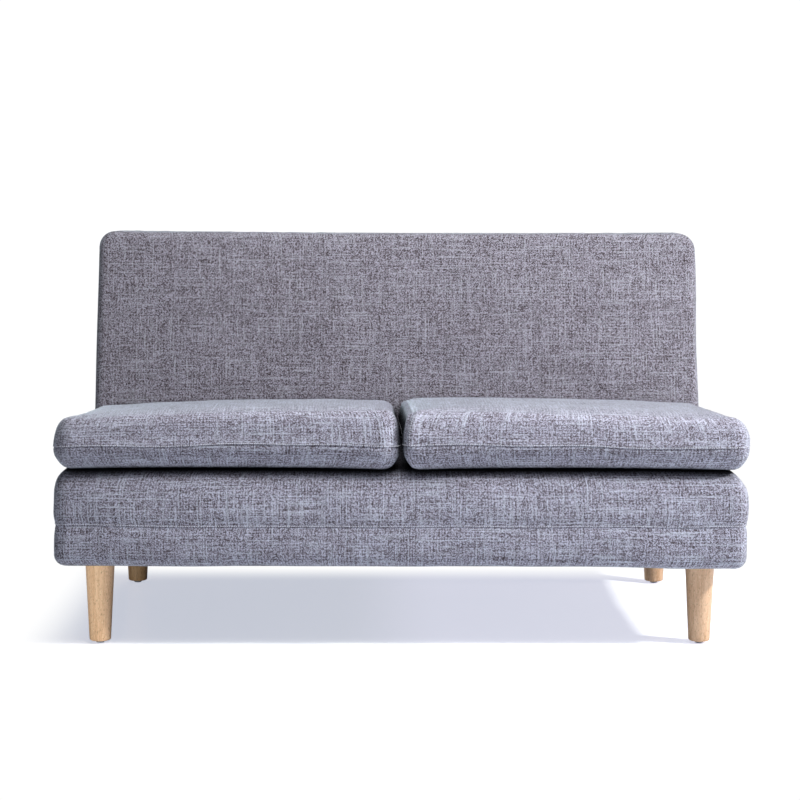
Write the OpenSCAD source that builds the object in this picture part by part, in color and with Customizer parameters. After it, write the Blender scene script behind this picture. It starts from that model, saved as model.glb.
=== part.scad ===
// Armless two-seat sofa: a padded base on four turned legs, a wedge back that stands on
// the rear of the base, and two loose zipped seat cushions.
// X runs across the seat to the right, Y to the rear and Z up. The origin lies on the
// floor, under the middle of the sofa's outer box.

/* [Overall] */
// Width across the base, the cushions and the back
overall_w = 1250; // [1100:10:1500]
// Depth from the front of the cushions to the rear of the back
overall_d = 730; // [700:5:800]
// Height from the floor to the top corners of the back
overall_h = 745; // [680:5:850]
// Height of the deck that the cushions and the back stand on
deck_h = 325; // [315:1:345]
// How far the cushions reach past the front of the base
cushion_overhang = 10; // [0:1:20]

/* [Legs] */
// Height of a wooden leg
leg_h = 147; // [130:1:160]
// Diameter of a leg under the frame
leg_top_d = 53.5; // [40:0.5:54]
// Diameter of a leg at its foot
leg_foot_d = 39; // [28:0.5:45]
// Rounding of the edge of the foot
leg_edge_r = 3; // [1:0.5:5]
// From the inner faces of the rails to the axis of a leg
leg_setback = 26; // [26:1:36]
// Height of a floor glide
glide_h = 5; // [2:0.5:6]
// Diameter of a floor glide
glide_d = 18; // [14:1:24]
// Diameter of the flat that a glide stands on
glide_flat_d = 10; // [8:1:13]
// Diameter of the nail of a glide
glide_pin_d = 2.2; // [1.5:0.1:3]
// Length of the nail of a glide
glide_pin_l = 14; // [10:1:20]

/* [Base frame] */
// Thickness of the outer rails and the cheeks
rail_t = 25; // [18:1:30]
// Height of the front rail and of the low part of the cheeks
rail_h = 70; // [60:1:75]
// Depth of the box beam under the back
beam_d = 151; // [130:1:155]
// Thickness of the rail at the front of the box beam
mid_rail_t = 22; // [16:1:26]
// Thickness of the board that closes the box beam
deck_board_t = 18; // [12:1:22]
// Rounding of the corners of that board
deck_board_r = 10; // [8:1:20]
// Width of the ledger that holds the rear ends of the springs
ledger_w = 25; // [22:1:32]
// Height of that ledger
ledger_h = 45; // [30:1:45]
// Width of the rail along the middle of the base
centre_rail_w = 50; // [30:1:70]
// Height of the rail along the middle of the base
centre_rail_h = 24; // [18:1:25]
// Length of a corner block along each rail
corner_block_w = 80; // [70:1:100]
// Height of a corner block
corner_block_h = 45; // [30:1:50]
// Length cut off the inner corner of a corner block
corner_block_cut = 38; // [20:1:40]

/* [Seat springs] */
// Wave springs under each seat
springs_per_seat = 4; // [3:1:5]
// Cross bars in each spring
spring_bars = 21; // [17:2:25]
// Width of a spring over its loops
spring_w = 50; // [44:1:60]
// Diameter of the spring wire
wire_d = 3.8; // [3:0.1:4.5]
// Width of a spring clip
clip_w = 18; // [12:1:20]
// Length of the foot of a spring clip
clip_l = 20; // [14:1:22]
// Thickness of the clip's steel
clip_t = 1.2; // [0.8:0.1:1.6]
// Thickness of the felt over the springs
felt_t = 2.5; // [2:0.5:5]

/* [Padding and base cover] */
// Thickness of the upholstery cloth
fabric_t = 1.5; // [1:0.1:2]
// Space left between soft layers
soft_gap = 0.3; // [0.2:0.1:0.5]
// Thickness of the padding round the frame
pad_t = 24; // [22:1:35]
// Radius of the corners of the base, seen from above
base_corner_r = 26; // [20:1:45]
// Radius of the lower edge of the base
base_edge_r = 20; // [12:1:21]
// How far the lower band lies back from the widest line
band_inset = 1.5; // [0.5:0.5:3]
// Height of the lower band, from the hem to the seam
band_h = 73; // [65:0.5:80]
// How deep the seam draws the cover in
seam_pinch = 1.5; // [0.5:0.5:3]
// Height over which the seam draws the cover in
seam_pinch_h = 20; // [12:1:24]
// Depth of the rounded shoulder under the cushions
shoulder_w = 25; // [15:1:25]
// Height of the rounded shoulder under the cushions
shoulder_h = 43; // [25:1:50]
// Width of the hem stapled under the frame
hem_w = 20; // [15:1:24]
// Thickness of the cloth under the base
dust_cover_t = 0.8; // [0.5:0.1:1]
// Space round a leg in the cloth under the base
dust_hole_gap = 1; // [0.5:0.5:3]

/* [Cushions] */
// Gap between the two cushions
cushion_gap = 3; // [2:0.5:8]
// How far a cushion stays inside the side of the base
cushion_side_inset = 1; // [0:0.5:6]
// Height of a cushion at its front rim
cushion_h = 106; // [90:1:108]
// Height of a cushion at its rear rim
cushion_rear_h = 76; // [70:1:95]
// Height of the seam of a cushion at its front
cushion_seam_h = 45; // [44:1:50]
// Half the height of the upright band at the seam
seam_band_h = 13; // [12:1:14]
// How far the top rises above the rim
cushion_crown = 12; // [3:1:18]
// How far the top sinks towards the outer end of the sofa
cushion_droop = 14; // [0:1:18]
// How far the sides are drawn in at their middle
cushion_draw = 2.5; // [0:0.5:5]
// Radius of the upright corners
cushion_corner_r = 30; // [15:1:36]
// Depth of the rounded upper edge
cushion_top_edge = 34; // [25:1:40]
// Depth of the rounded lower edge
cushion_low_edge = 26; // [20:1:34]
// Gap between a cushion and the back at the seam
cushion_back_gap = 4; // [3:0.5:8]
// Thickness of the fibre wrap round the foam core
wrap_t = 12; // [8:1:16]
// From the side of a cushion to the end of its core
core_end_inset = 18; // [16:1:30]

/* [Zips] */
// Length of a zip
zip_l = 470; // [300:10:500]
// Height of the opening in the cover for the zip
zip_slot_h = 13; // [12:0.5:16]
// Height of the zip's tape
tape_h = 17; // [16.5:0.5:18]
// Thickness of the zip's tape
tape_t = 1; // [0.6:0.1:1.2]
// Width of the zip's chain
chain_w = 5; // [4:0.5:6]
// How far the chain stands out from the tape
chain_t = 1.2; // [0.8:0.1:1.4]
// Length of the slider
slider_l = 11; // [9:0.5:14]
// Height of the slider
slider_w = 9; // [8:0.5:11]
// Thickness of the slider's plate
slider_t = 1.2; // [0.8:0.1:1.3]
// Running gap round the chain
slider_gap = 0.3; // [0.2:0.1:0.4]
// Length of the slider's pull
pull_l = 24; // [15:1:30]

/* [Back] */
// Depth of the back where it stands on the base
back_depth = 189; // [176:1:200]
// Depth of the back at its top
back_top_depth = 103; // [95:1:140]
// Radius of the upper corners, seen from the front
back_corner_r = 37; // [25:1:60]
// Radius of the lower corners, seen from the front
back_foot_r = 18; // [12:1:24]
// Radius of the edge round the front face
back_edge_r = 17; // [12:1:30]
// How far the front face bulges
back_crown = 9; // [3:1:14]
// How far the top edge dips in the middle
top_dip = 3; // [0:0.5:8]
// How far the rear panel lies inside the sides
rear_panel_inset = 2; // [1:0.5:3]

/* [Back frame] */
// Thickness of the padding at the sides and the top of the back
back_pad_t = 22; // [18:1:30]
// Thickness of the foam in front of the webbing
back_foam_t = 52; // [40:1:54]
// Thickness of the posts and the stile
post_t = 25; // [18:1:30]
// Height of the upper and lower rails
back_rail_h = 22; // [18:1:30]
// Elastic bands across the front of the back frame
web_count = 8; // [6:2:10]
// Width of an elastic band
web_w = 60; // [40:5:80]
// Thickness of an elastic band
web_t = 1.5; // [1:0.1:2.5]
// Thickness of the board behind the back frame
back_board_t = 3; // [2:0.5:4]

/* [Fasteners] */
// Diameter of the bolts
bolt_d = 8; // [6:1:8]
// Depth of a leg bolt in its leg
leg_bolt_depth = 42; // [30:1:60]
// How far a bolt stands out of its nut
bolt_end = 4; // [2:1:8]
// Across the corners of a bolt's hexagon head
bolt_head_d = 15; // [13:0.5:16]
// Height of a bolt's head
bolt_head_h = 5.3; // [4:0.1:6]
// Diameter of a washer
washer_d = 24; // [18:1:30]
// Thickness of a washer
washer_t = 1.6; // [1:0.1:2.5]
// Diameter of the barrel of a tee nut
tee_barrel_d = 11; // [10:0.5:12]
// Length of the barrel of a tee nut
tee_barrel_l = 9; // [7:0.5:12]
// Diameter of the flange of a tee nut
tee_flange_d = 24; // [20:1:26]
// Thickness of the flange of a tee nut
tee_flange_t = 1.5; // [1:0.1:2]
// Diameter of a wood screw
screw_d = 4.5; // [3.5:0.1:5]
// Length of a wood screw
screw_l = 60; // [50:1:65]
// Diameter of a screw's head
screw_head_d = 9; // [8:0.5:10]
// Height of a screw's countersunk head
screw_head_h = 4; // [3:0.5:5]
// Space round a fastener in its hole
hole_gap = 0.15; // [0.1:0.05:0.3]

/* [Hidden] */
$fn = 48;
// Overrun of every cut past the face that it opens
overrun = 2;
// Colours
cloth_colour = [0.55, 0.54, 0.6];
lining_colour = [0.16, 0.16, 0.17];
oak_colour = [0.84, 0.7, 0.55];
ply_colour = [0.78, 0.66, 0.48];
steel_colour = [0.62, 0.63, 0.65];
foam_colour = [0.93, 0.88, 0.72];
felt_colour = [0.88, 0.87, 0.84];
glide_colour = [0.6, 0.62, 0.68];
tape_colour = [0.5, 0.5, 0.56];

// Points on each quarter of a plan corner, on the covers and on the inner layers
cover_steps = 6;
inner_steps = 3;
// Smallest share of its own radius that a corner keeps where a layer shrinks
least_radius_share = 0.35;
// Rings that round an edge or a shoulder
edge_rings = 3;
shoulder_rings = 4;
back_edge_rings = 4;
// Exponents of the rounded edges, where 2 is an ellipse and more is squarer
top_edge_power = 2.4;
low_edge_power = 2;
// Scales of the rings between a rim and the middle of its face, and how square the dome is
crown_shares = [0.8, 0.45];
crown_power = 3;
// How late the top of a cushion sinks on its way to the outer end
droop_power = 1.5;

// Levels and faces of the base
frame_z = glide_h + leg_h;
rail_top = frame_z + rail_h;
hem_z = frame_z - fabric_t;
seam_z = hem_z + band_h;
base_front = cushion_overhang - overall_d / 2;
base_rear = overall_d / 2;
base_d = base_rear - base_front;
base_y = (base_front + base_rear) / 2;
layer_t = fabric_t + soft_gap;
frame_inset = layer_t + pad_t;
frame_x = overall_w / 2 - frame_inset;
frame_front = base_front + frame_inset;
frame_rear = base_rear - frame_inset;
inner_x = frame_x - rail_t;
inner_front = frame_front + rail_t;
inner_rear = frame_rear - rail_t;
beam_front = frame_rear - beam_d;
beam_back_of_front = beam_front + mid_rail_t;
board_top = deck_h - layer_t;
board_z = board_top - deck_board_t;
beam_h = board_z - frame_z;
block_top = frame_z + corner_block_h;

// Springs
spring_front = frame_front + rail_t / 2;
spring_rear = beam_front - ledger_w / 2;
spring_pitch = (spring_rear - spring_front) / (spring_bars - 1);
bar_half = (spring_w - wire_d - spring_pitch) / 2;
clip_bore_d = wire_d + 2 * hole_gap;
spring_z = rail_top + clip_t + clip_bore_d / 2;
felt_z = spring_z + clip_bore_d / 2 + clip_t + soft_gap;
foam_pocket_z = felt_z + felt_t + soft_gap;
seat_span = inner_x;
spring_count = 2 * springs_per_seat;

// Back
back_h = overall_h - deck_h;
back_frame_x = overall_w / 2 - layer_t - back_pad_t;
back_frame_z = deck_h + layer_t;
back_frame_top = overall_h - top_dip - layer_t - back_pad_t;
back_board_y = base_rear - layer_t - back_board_t;
rear_edge_d = layer_t + back_board_t;
back_low_rail_top = back_frame_z + back_rail_h;
back_top_rail_z = back_frame_top - back_rail_h;
back_mid_z = deck_h + back_h / 2;
back_bolt_y = (beam_back_of_front + inner_rear) / 2;
back_bolt_share = 0.4;
// Depth of the front face of the back at a height, a plane that leans to the rear
function back_face(z) =
    base_rear - back_depth + (z - deck_h) * (back_depth - back_top_depth) / back_h;
// Depth of the front of the frame inside the back
function back_frame_face(z) = back_face(z) + layer_t + back_foam_t + web_t;

// Cushions
cushion_w = overall_w / 2 - cushion_gap / 2 - cushion_side_inset;
cushion_x = cushion_gap / 2 + cushion_w / 2;
cushion_z = deck_h + soft_gap;
rear_share = cushion_rear_h / cushion_h;
rear_seam_z = cushion_z + cushion_seam_h * rear_share;
cushion_front = -overall_d / 2;
cushion_rear = back_face(rear_seam_z) - cushion_back_gap;
cushion_d = cushion_rear - cushion_front;
cushion_y = (cushion_front + cushion_rear) / 2;
tape_face = cushion_rear - fabric_t;
// From the middle of the zip to the middle of its slider at either end of its run
slider_reach = zip_l / 2 - chain_w - slider_gap - slider_l / 2;

// Rings and lofted skins

function arc_points(centre, r, from, steps) =
    [for (i = [0:steps]) centre + r * [cos(from + 90 * i / steps), sin(from + 90 * i / steps)]];

function points_between(p, q, count) = [for (i = [1:1:count]) p + (q - p) * i / (count + 1)];

// A rounded rectangle drawn counter-clockwise from the corner at +X and -Y. radii holds one
// radius for each corner, and mids the points added along the X and the Y edges.
function round_ring(size, radii, inset, steps, mids) =
    let (
        signs = [[1, -1], [1, 1], [-1, 1], [-1, -1]],
        rs = [for (r = radii) max(r - inset, r * least_radius_share)],
        arcs = [for (k = [0:3]) arc_points(
            [signs[k].x * (size.x / 2 - inset - rs[k]), signs[k].y * (size.y / 2 - inset - rs[k])],
            rs[k], 270 + 90 * k, steps)]
    )
    [for (k = [0:3]) each concat(
        arcs[k], points_between(arcs[k][steps], arcs[(k + 1) % 4][0], mids[(k + 1) % 2]))];

// One ring at each [inset, height] of a path
function path_rings(path, size, radii, steps, mids) =
    [for (p = path) [for (q = round_ring(size, radii, p[0], steps, mids)) [q.x, q.y, p[1]]]];

// Rings between a rim and the middle of its face, which rises as a shallow dome
function crown_rings(rim, rise) =
    [for (s = crown_shares) [for (q = rim) [q.x * s, q.y * s, q.z + rise * (1 - pow(s, crown_power))]]];

// A rounded edge from [0, 0] to [depth, height]
function edge_path(depth, height, power, steps) =
    [for (i = [0:steps])
        [depth * (1 - pow(cos(90 * i / steps), 2 / power)), height * pow(sin(90 * i / steps), 2 / power)]];

// The same path moved to its inner side by t, with the directions at both ends given
function inner_path(path, t, first, last) =
    [for (i = [0:len(path) - 1])
        let (
            way = path[min(i + 1, len(path) - 1)] - path[max(i - 1, 0)],
            turned = [way[1], -way[0]] / norm(way)
        )
        path[i] + t * (i == 0 ? first : i == len(path) - 1 ? last : turned)];

function shifted(path, by) = [for (p = path) p + by];
function reversed(list) = [for (i = [len(list) - 1:-1:0]) list[i]];
function bent(rings, bend) = [for (ring = rings) [for (p = ring) bend(p)]];

function strip_faces(n, a, b) =
    [for (i = [0:n - 1]) let (j = (i + 1) % n) each [[a + i, b + j, b + i], [a + i, a + j, b + j]]];

function flipped(faces, flip) = flip ? [for (f = faces) reversed(f)] : faces;

// A closed skin through rings, from a first point to a last point
module loft(first, rings, last, flip = false) {
    n = len(rings[0]);
    count = len(rings);
    end = 1 + n * count;
    faces = concat(
        [for (i = [0:n - 1]) [0, 1 + (i + 1) % n, 1 + i]],
        [for (k = [0:1:count - 2]) each strip_faces(n, 1 + n * k, 1 + n * (k + 1))],
        [for (i = [0:n - 1]) [end, end - n + i, end - n + (i + 1) % n]]);
    polyhedron([first, each [for (ring = rings) each ring], last], flipped(faces, flip));
}

// A closed skin through rings that come back to the first one
module loop_loft(rings) {
    n = len(rings[0]);
    count = len(rings);
    polyhedron(
        [for (ring = rings) each ring],
        [for (k = [0:count - 1]) each strip_faces(n, n * k, n * ((k + 1) % count))]);
}

// A box between two corners
module box(low, high) {
    translate(low) cube(high - low);
}

// A box as wide as the frame, centred across the sofa
module bar(half_w, low, high) {
    box([-half_w, low[0], low[1]], [half_w, high[0], high[1]]);
}

// An outline in Y and Z carried across the sofa from x1 to x2
module side_profile(points, x1, x2) {
    translate([x1, 0, 0]) rotate([90, 0, 90]) linear_extrude(x2 - x1) polygon(points);
}

// Puts its children at the inner corner of two rails, with +X and +Y to the middle of the base
module at_corner(side, end) {
    translate([side * inner_x, end < 0 ? inner_front : inner_rear, 0])
        mirror([side > 0 ? 1 : 0, 0, 0])
            mirror([0, end > 0 ? 1 : 0, 0])
                children();
}

module at_leg(side, end) {
    at_corner(side, end) translate([leg_setback, leg_setback, 0]) children();
}

module at_legs() {
    for (side = [-1, 1])
        for (end = [-1, 1])
            at_leg(side, end) children();
}

// Legs, glides and their fasteners

module leg(side, end) {
    foot_arc = arc_points([leg_foot_d / 2 - leg_edge_r, leg_edge_r], leg_edge_r, 270, edge_rings);
    color(oak_colour) at_leg(side, end) translate([0, 0, glide_h]) difference() {
        rotate_extrude() polygon(concat([[0, 0]], foot_arc, [[leg_top_d / 2, leg_h], [0, leg_h]]));
        translate([0, 0, leg_h - leg_bolt_depth - hole_gap])
            cylinder(d = bolt_d + 2 * hole_gap, h = leg_bolt_depth + hole_gap + overrun);
        translate([0, 0, -overrun])
            cylinder(d = glide_pin_d + 2 * hole_gap, h = glide_pin_l + hole_gap + overrun);
    }
}

module glide(side, end) {
    dome = edge_path((glide_d - glide_flat_d) / 2, glide_h, low_edge_power, edge_rings);
    color(glide_colour) at_leg(side, end) rotate_extrude() polygon(concat(
        [[0, 0]],
        [for (p = reversed(dome)) [glide_d / 2 - p[0], glide_h - p[1]]],
        [[glide_pin_d / 2, glide_h], [glide_pin_d / 2, glide_h + glide_pin_l], [0, glide_h + glide_pin_l]]));
}

module tee_nut() {
    difference() {
        union() {
            translate([0, 0, -tee_barrel_l]) cylinder(d = tee_barrel_d, h = tee_barrel_l);
            cylinder(d = tee_flange_d, h = tee_flange_t);
        }
        translate([0, 0, -tee_barrel_l - overrun])
            cylinder(d = bolt_d + 2 * hole_gap, h = tee_barrel_l + tee_flange_t + 2 * overrun);
    }
}

// The hole for a bolt and for the barrel of the nut above it, down from the nut's face
module tee_hole(depth) {
    translate([0, 0, -depth - overrun]) cylinder(d = bolt_d + 2 * hole_gap, h = depth + 2 * overrun);
    translate([0, 0, -tee_barrel_l - hole_gap])
        cylinder(d = tee_barrel_d + 2 * hole_gap, h = tee_barrel_l + hole_gap + overrun);
}

module leg_bolts() {
    bolt_h = leg_bolt_depth + corner_block_h + tee_flange_t + bolt_end;
    color(steel_colour) at_legs() translate([0, 0, frame_z - leg_bolt_depth])
        cylinder(d = bolt_d, h = bolt_h);
}

module leg_tee_nuts() {
    color(steel_colour) at_legs() translate([0, 0, block_top]) tee_nut();
}

module corner_block(side, end) {
    w = corner_block_w;
    c = corner_block_w - corner_block_cut;
    color(ply_colour) difference() {
        at_corner(side, end) translate([0, 0, frame_z]) linear_extrude(corner_block_h)
            polygon([[0, 0], [w, 0], [w, c], [c, w], [0, w]]);
        at_leg(side, end) translate([0, 0, block_top]) tee_hole(corner_block_h);
    }
}

// Base frame

module wood_screw(gap) {
    cylinder(d = screw_d + 2 * gap, h = screw_l + gap);
    cylinder(d1 = screw_head_d + 2 * gap, d2 = screw_d + 2 * gap, h = screw_head_h);
}

// Screws through the front and rear rails into the ends of the cheeks
module corner_screws(gap) {
    for (side = [-1, 1])
        for (level_share = [0.25, 0.75])
            translate([side * (frame_x - rail_t / 2), 0, frame_z + rail_h * level_share]) {
                translate([0, frame_front, 0]) rotate([-90, 0, 0]) wood_screw(gap);
                translate([0, frame_rear, 0]) rotate([90, 0, 0]) wood_screw(gap);
            }
}

// Screws through the cheeks into the ends of the rail in front of the box beam
module cheek_screws(gap) {
    for (side = [-1, 1])
        for (level_share = [0.25, 0.75])
            translate([side * frame_x, beam_front + mid_rail_t / 2, frame_z + beam_h * level_share])
                rotate([0, -90 * side, 0]) wood_screw(gap);
}

// Screws down through the board on the box beam
module board_screws(gap) {
    for (x_share = [-0.75, 0, 0.75])
        for (y = [beam_front + mid_rail_t / 2, frame_rear - rail_t / 2])
            translate([x_share * inner_x, y, board_top]) mirror([0, 0, 1]) wood_screw(gap);
}

module front_rail() {
    color(ply_colour) difference() {
        bar(frame_x, [frame_front, frame_z], [inner_front, rail_top]);
        corner_screws(hole_gap);
    }
}

module rear_rail() {
    color(ply_colour) difference() {
        bar(frame_x, [inner_rear, frame_z], [frame_rear, board_z]);
        corner_screws(hole_gap);
        board_screws(hole_gap);
    }
}

module cheek(side) {
    x = side < 0 ? -frame_x : inner_x;
    color(ply_colour) difference() {
        side_profile([
            [inner_front, frame_z], [inner_rear, frame_z], [inner_rear, board_z],
            [beam_front, board_z], [beam_front, rail_top], [inner_front, rail_top]], x, x + rail_t);
        corner_screws(hole_gap);
        cheek_screws(hole_gap);
    }
}

module mid_rail() {
    color(ply_colour) difference() {
        bar(inner_x, [beam_front, frame_z], [beam_back_of_front, board_z]);
        cheek_screws(hole_gap);
        board_screws(hole_gap);
    }
}

module spring_ledger() {
    color(ply_colour)
        bar(inner_x, [beam_front - ledger_w, rail_top - ledger_h], [beam_front, rail_top]);
}

module centre_rail() {
    color(ply_colour)
        bar(centre_rail_w / 2, [inner_front, frame_z], [beam_front, frame_z + centre_rail_h]);
}

// Places of the four bolts that hold the back on the base
module at_back_bolts() {
    for (side = [-1, 1])
        for (share = [back_bolt_share, 2 * back_bolt_share])
            translate([side * share * inner_x, back_bolt_y, 0]) children();
}

module back_bolt_holes(low, high) {
    at_back_bolts() translate([0, 0, low - overrun])
        cylinder(d = bolt_d + 2 * hole_gap, h = high - low + 2 * overrun);
}

module rear_deck_board() {
    color(ply_colour) difference() {
        union() {
            bar(frame_x, [beam_front + deck_board_r, board_z], [frame_rear - deck_board_r, board_top]);
            bar(frame_x - deck_board_r, [beam_front, board_z], [frame_rear, board_top]);
            for (side = [-1, 1])
                for (y = [beam_front + deck_board_r, frame_rear - deck_board_r])
                    translate([side * (frame_x - deck_board_r), y, board_z])
                        cylinder(r = deck_board_r, h = deck_board_t);
        }
        board_screws(hole_gap);
        back_bolt_holes(board_z, board_top);
    }
}

module frame_screws() {
    color(steel_colour) {
        corner_screws(0);
        cheek_screws(0);
        board_screws(0);
    }
}

// Wave springs, their clips and the felt

module at_springs() {
    for (i = [0:spring_count - 1])
        translate([seat_span * ((2 * i + 1) / spring_count - 1), 0, 0]) children();
}

module wave_spring() {
    for (i = [0:spring_bars - 1])
        translate([0, i * spring_pitch, 0]) rotate([0, 90, 0])
            cylinder(d = wire_d, h = 2 * bar_half, center = true);
    for (i = [0:spring_bars - 2]) {
        side = i % 2 == 0 ? 1 : -1;
        translate([side * bar_half, (i + 1 / 2) * spring_pitch, 0]) rotate([0, 0, -90 * side])
            rotate_extrude(angle = 180) translate([spring_pitch / 2, 0]) circle(d = wire_d);
    }
}

module seat_springs() {
    color(steel_colour) at_springs() translate([0, spring_front, spring_z]) wave_spring();
}

module spring_clip() {
    difference() {
        union() {
            translate([-clip_w / 2, -clip_l / 2, 0]) cube([clip_w, clip_l, clip_t]);
            translate([-clip_w / 2, 0, spring_z - rail_top]) rotate([0, 90, 0])
                cylinder(d = clip_bore_d + 2 * clip_t, h = clip_w);
        }
        translate([-clip_w / 2 - overrun, 0, spring_z - rail_top]) rotate([0, 90, 0])
            cylinder(d = clip_bore_d, h = clip_w + 2 * overrun);
    }
}

module spring_clips() {
    color(steel_colour) at_springs()
        for (y = [spring_front, spring_rear])
            translate([0, y, rail_top]) spring_clip();
}

module spring_felt() {
    color(felt_colour)
        bar(inner_x - soft_gap, [frame_front, felt_z], [beam_front - soft_gap, felt_z + felt_t]);
}

// Base padding and cover

base_size = [overall_w, base_d];
base_radii = [for (k = [0:3]) base_corner_r];
base_mids = [3, 1];

// [inset, height] of the cover, from the hem under the frame to the seam
band_path = concat(
    [[frame_inset + hem_w, hem_z]],
    [for (p = reversed(edge_path(base_edge_r, base_edge_r, low_edge_power, edge_rings)))
        [band_inset + p[0], hem_z + base_edge_r - p[1]]],
    [[band_inset, seam_z - seam_pinch_h], [band_inset + seam_pinch, seam_z]]);

// [inset, height] of the cover, from the seam to the flat of the deck
top_path = concat(
    [[band_inset + seam_pinch, seam_z], [0, seam_z + seam_pinch_h]],
    shifted(
        edge_path(shoulder_w, shoulder_h, low_edge_power, shoulder_rings), [0, deck_h - shoulder_h]));

function base_rings(path, steps) = bent(
    path_rings(path, base_size, base_radii, steps, base_mids), function (p) p + [0, base_y, 0]);

// The room inside the cover, as one solid
module base_room() {
    low = inner_path(band_path, layer_t, [0, 1], [1, 0]);
    top = inner_path(top_path, layer_t, [1, 0], [0, -1]);
    path = concat([for (i = [1:len(low) - 1]) low[i]], [for (i = [1:len(top) - 1]) top[i]]);
    rings = reversed(base_rings(path, inner_steps));
    loft([0, base_y, board_top], rings, [0, base_y, path[0][1]]);
}

module seat_foam() {
    color(foam_colour) difference() {
        intersection() {
            base_room();
            bar(overall_w, [-overall_d, rail_top], [beam_front - soft_gap, overall_h]);
        }
        bar(inner_x, [frame_front - soft_gap, rail_top - overrun], [beam_front + overrun, foam_pocket_z]);
    }
}

module rear_pad() {
    color(foam_colour) difference() {
        intersection() {
            base_room();
            bar(overall_w, [beam_front, rail_top], [overall_d, overall_h]);
        }
        bar(frame_x, [beam_front - overrun, rail_top - overrun], [frame_rear, overall_h]);
    }
}

module frame_pad() {
    color(foam_colour) difference() {
        intersection() {
            base_room();
            bar(overall_w, [-overall_d, frame_z], [overall_d, rail_top]);
        }
        bar(frame_x, [frame_front, frame_z - overrun], [frame_rear, rail_top + overrun]);
    }
}

module base_cover_top() {
    outer = base_rings(top_path, cover_steps);
    inner = base_rings(inner_path(top_path, fabric_t, [1, 0], [0, -1]), cover_steps);
    color(cloth_colour) difference() {
        loft([0, base_y, deck_h], concat(reversed(outer), inner), [0, base_y, deck_h - fabric_t]);
        back_bolt_holes(deck_h - fabric_t, deck_h);
    }
}

module base_cover_band() {
    outer = base_rings(band_path, cover_steps);
    inner = base_rings(inner_path(band_path, fabric_t, [0, 1], [1, 0]), cover_steps);
    color(cloth_colour) loop_loft(concat(reversed(outer), inner));
}

module dust_cover() {
    color(lining_colour) difference() {
        bar(frame_x, [frame_front, hem_z - dust_cover_t], [frame_rear, hem_z]);
        at_legs() translate([0, 0, hem_z - dust_cover_t - overrun])
            cylinder(d = leg_top_d + 2 * dust_hole_gap, h = dust_cover_t + 2 * overrun);
    }
}

// Cushions

cushion_size = [cushion_w, cushion_d];
cushion_radii = [for (k = [0:3]) cushion_corner_r];
cushion_mids = [2, 2];

// Height where the rounded upper edge of a cushion starts, and from where the top with all
// its layers sinks by the full droop
edge_foot = cushion_seam_h + seam_band_h;
sink_top = cushion_h - 2 * layer_t;

// [inset, height] from the seam up to the rim of the top
cushion_top_path = concat(
    [[0, cushion_seam_h]],
    shifted(
        edge_path(cushion_top_edge, cushion_h - edge_foot, top_edge_power, shoulder_rings),
        [0, edge_foot]));

// [inset, height] from the seam down to the rim of the underside
cushion_low_path = concat(
    [[0, cushion_seam_h]],
    [for (p = edge_path(cushion_low_edge, cushion_seam_h - seam_band_h, low_edge_power, edge_rings))
        [p[0], cushion_seam_h - seam_band_h - p[1]]]);

// Height over the deck of a point at height z and depth y of a cushion, which thins to the rear
function cushion_level(y, z) = cushion_z + z * (1 - (1 - rear_share) * (y - cushion_front) / cushion_d);

// Puts a point of a cushion in its place, with its sides and its front drawn in and the top
// sunk towards the outer end, which side gives as -1 or 1
function cushion_point(p, side) =
    let (
        across = 2 * p.x / cushion_w,
        along = 2 * p.y / cushion_d,
        share_up = min(max((p.z - edge_foot) / (sink_top - edge_foot), 0), 1),
        sink = cushion_droop * share_up * pow((1 + side * across) / 2, droop_power),
        x = p.x - cushion_draw * across * (1 - along * along),
        y = p.y + cushion_draw * max(-along, 0) * (1 - across * across) + cushion_y
    )
    [x, y, cushion_level(y, p.z - sink)];

function cushion_rings(path, steps, side) = bent(
    path_rings(path, cushion_size, cushion_radii, steps, cushion_mids),
    function (p) cushion_point(p, side));

function cushion_crown_rings(rim_path, steps, side) = bent(
    crown_rings(path_rings(rim_path, cushion_size, cushion_radii, steps, cushion_mids)[0], cushion_crown),
    function (p) cushion_point(p, side));

module zip_opening() {
    bar(zip_l / 2, [cushion_rear - fabric_t - overrun, rear_seam_z - zip_slot_h / 2],
        [cushion_rear + overrun, rear_seam_z + zip_slot_h / 2]);
}

module cushion_top(side) {
    rim = [cushion_top_path[len(cushion_top_path) - 1]];
    outer = concat(
        cushion_rings(cushion_top_path, cover_steps, side), cushion_crown_rings(rim, cover_steps, side));
    low_path = inner_path(cushion_top_path, fabric_t, [1, 0], [0, -1]);
    inner = concat(
        cushion_rings(low_path, cover_steps, side),
        cushion_crown_rings([low_path[len(low_path) - 1]], cover_steps, side));
    top = cushion_point([0, 0, cushion_h + cushion_crown], side);
    ceiling = cushion_point([0, 0, cushion_h + cushion_crown - fabric_t], side);
    color(cloth_colour) difference() {
        loft(top, concat(reversed(outer), inner), ceiling);
        zip_opening();
    }
}

module cushion_bottom(side) {
    outer = cushion_rings(cushion_low_path, cover_steps, side);
    inner = cushion_rings(
        reversed(inner_path(reversed(cushion_low_path), fabric_t, [0, 1], [1, 0])), cover_steps, side);
    bottom = cushion_point([0, 0, 0], side);
    floor = cushion_point([0, 0, fabric_t], side);
    color(cloth_colour) difference() {
        loft(bottom, concat(reversed(outer), inner), floor, flip = true);
        zip_opening();
    }
}

// The foam core, as wide as half_w each way
module core_block(half_w) {
    low = layer_t + wrap_t;
    high = cushion_h - cushion_droop - layer_t - wrap_t;
    front = cushion_front + low + cushion_draw;
    rear = cushion_rear - low;
    cut = wrap_t;
    points = [
        [front + cut, low], [rear - cut, low], [rear, low + cut], [rear, high - cut],
        [rear - cut, high], [front + cut, high], [front, high - cut], [front, low + cut]];
    side_profile([for (p = points) [p[0], cushion_level(p[0], p[1])]], -half_w, half_w);
}

module cushion_core() {
    color(foam_colour) core_block(cushion_w / 2 - core_end_inset);
}

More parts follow.
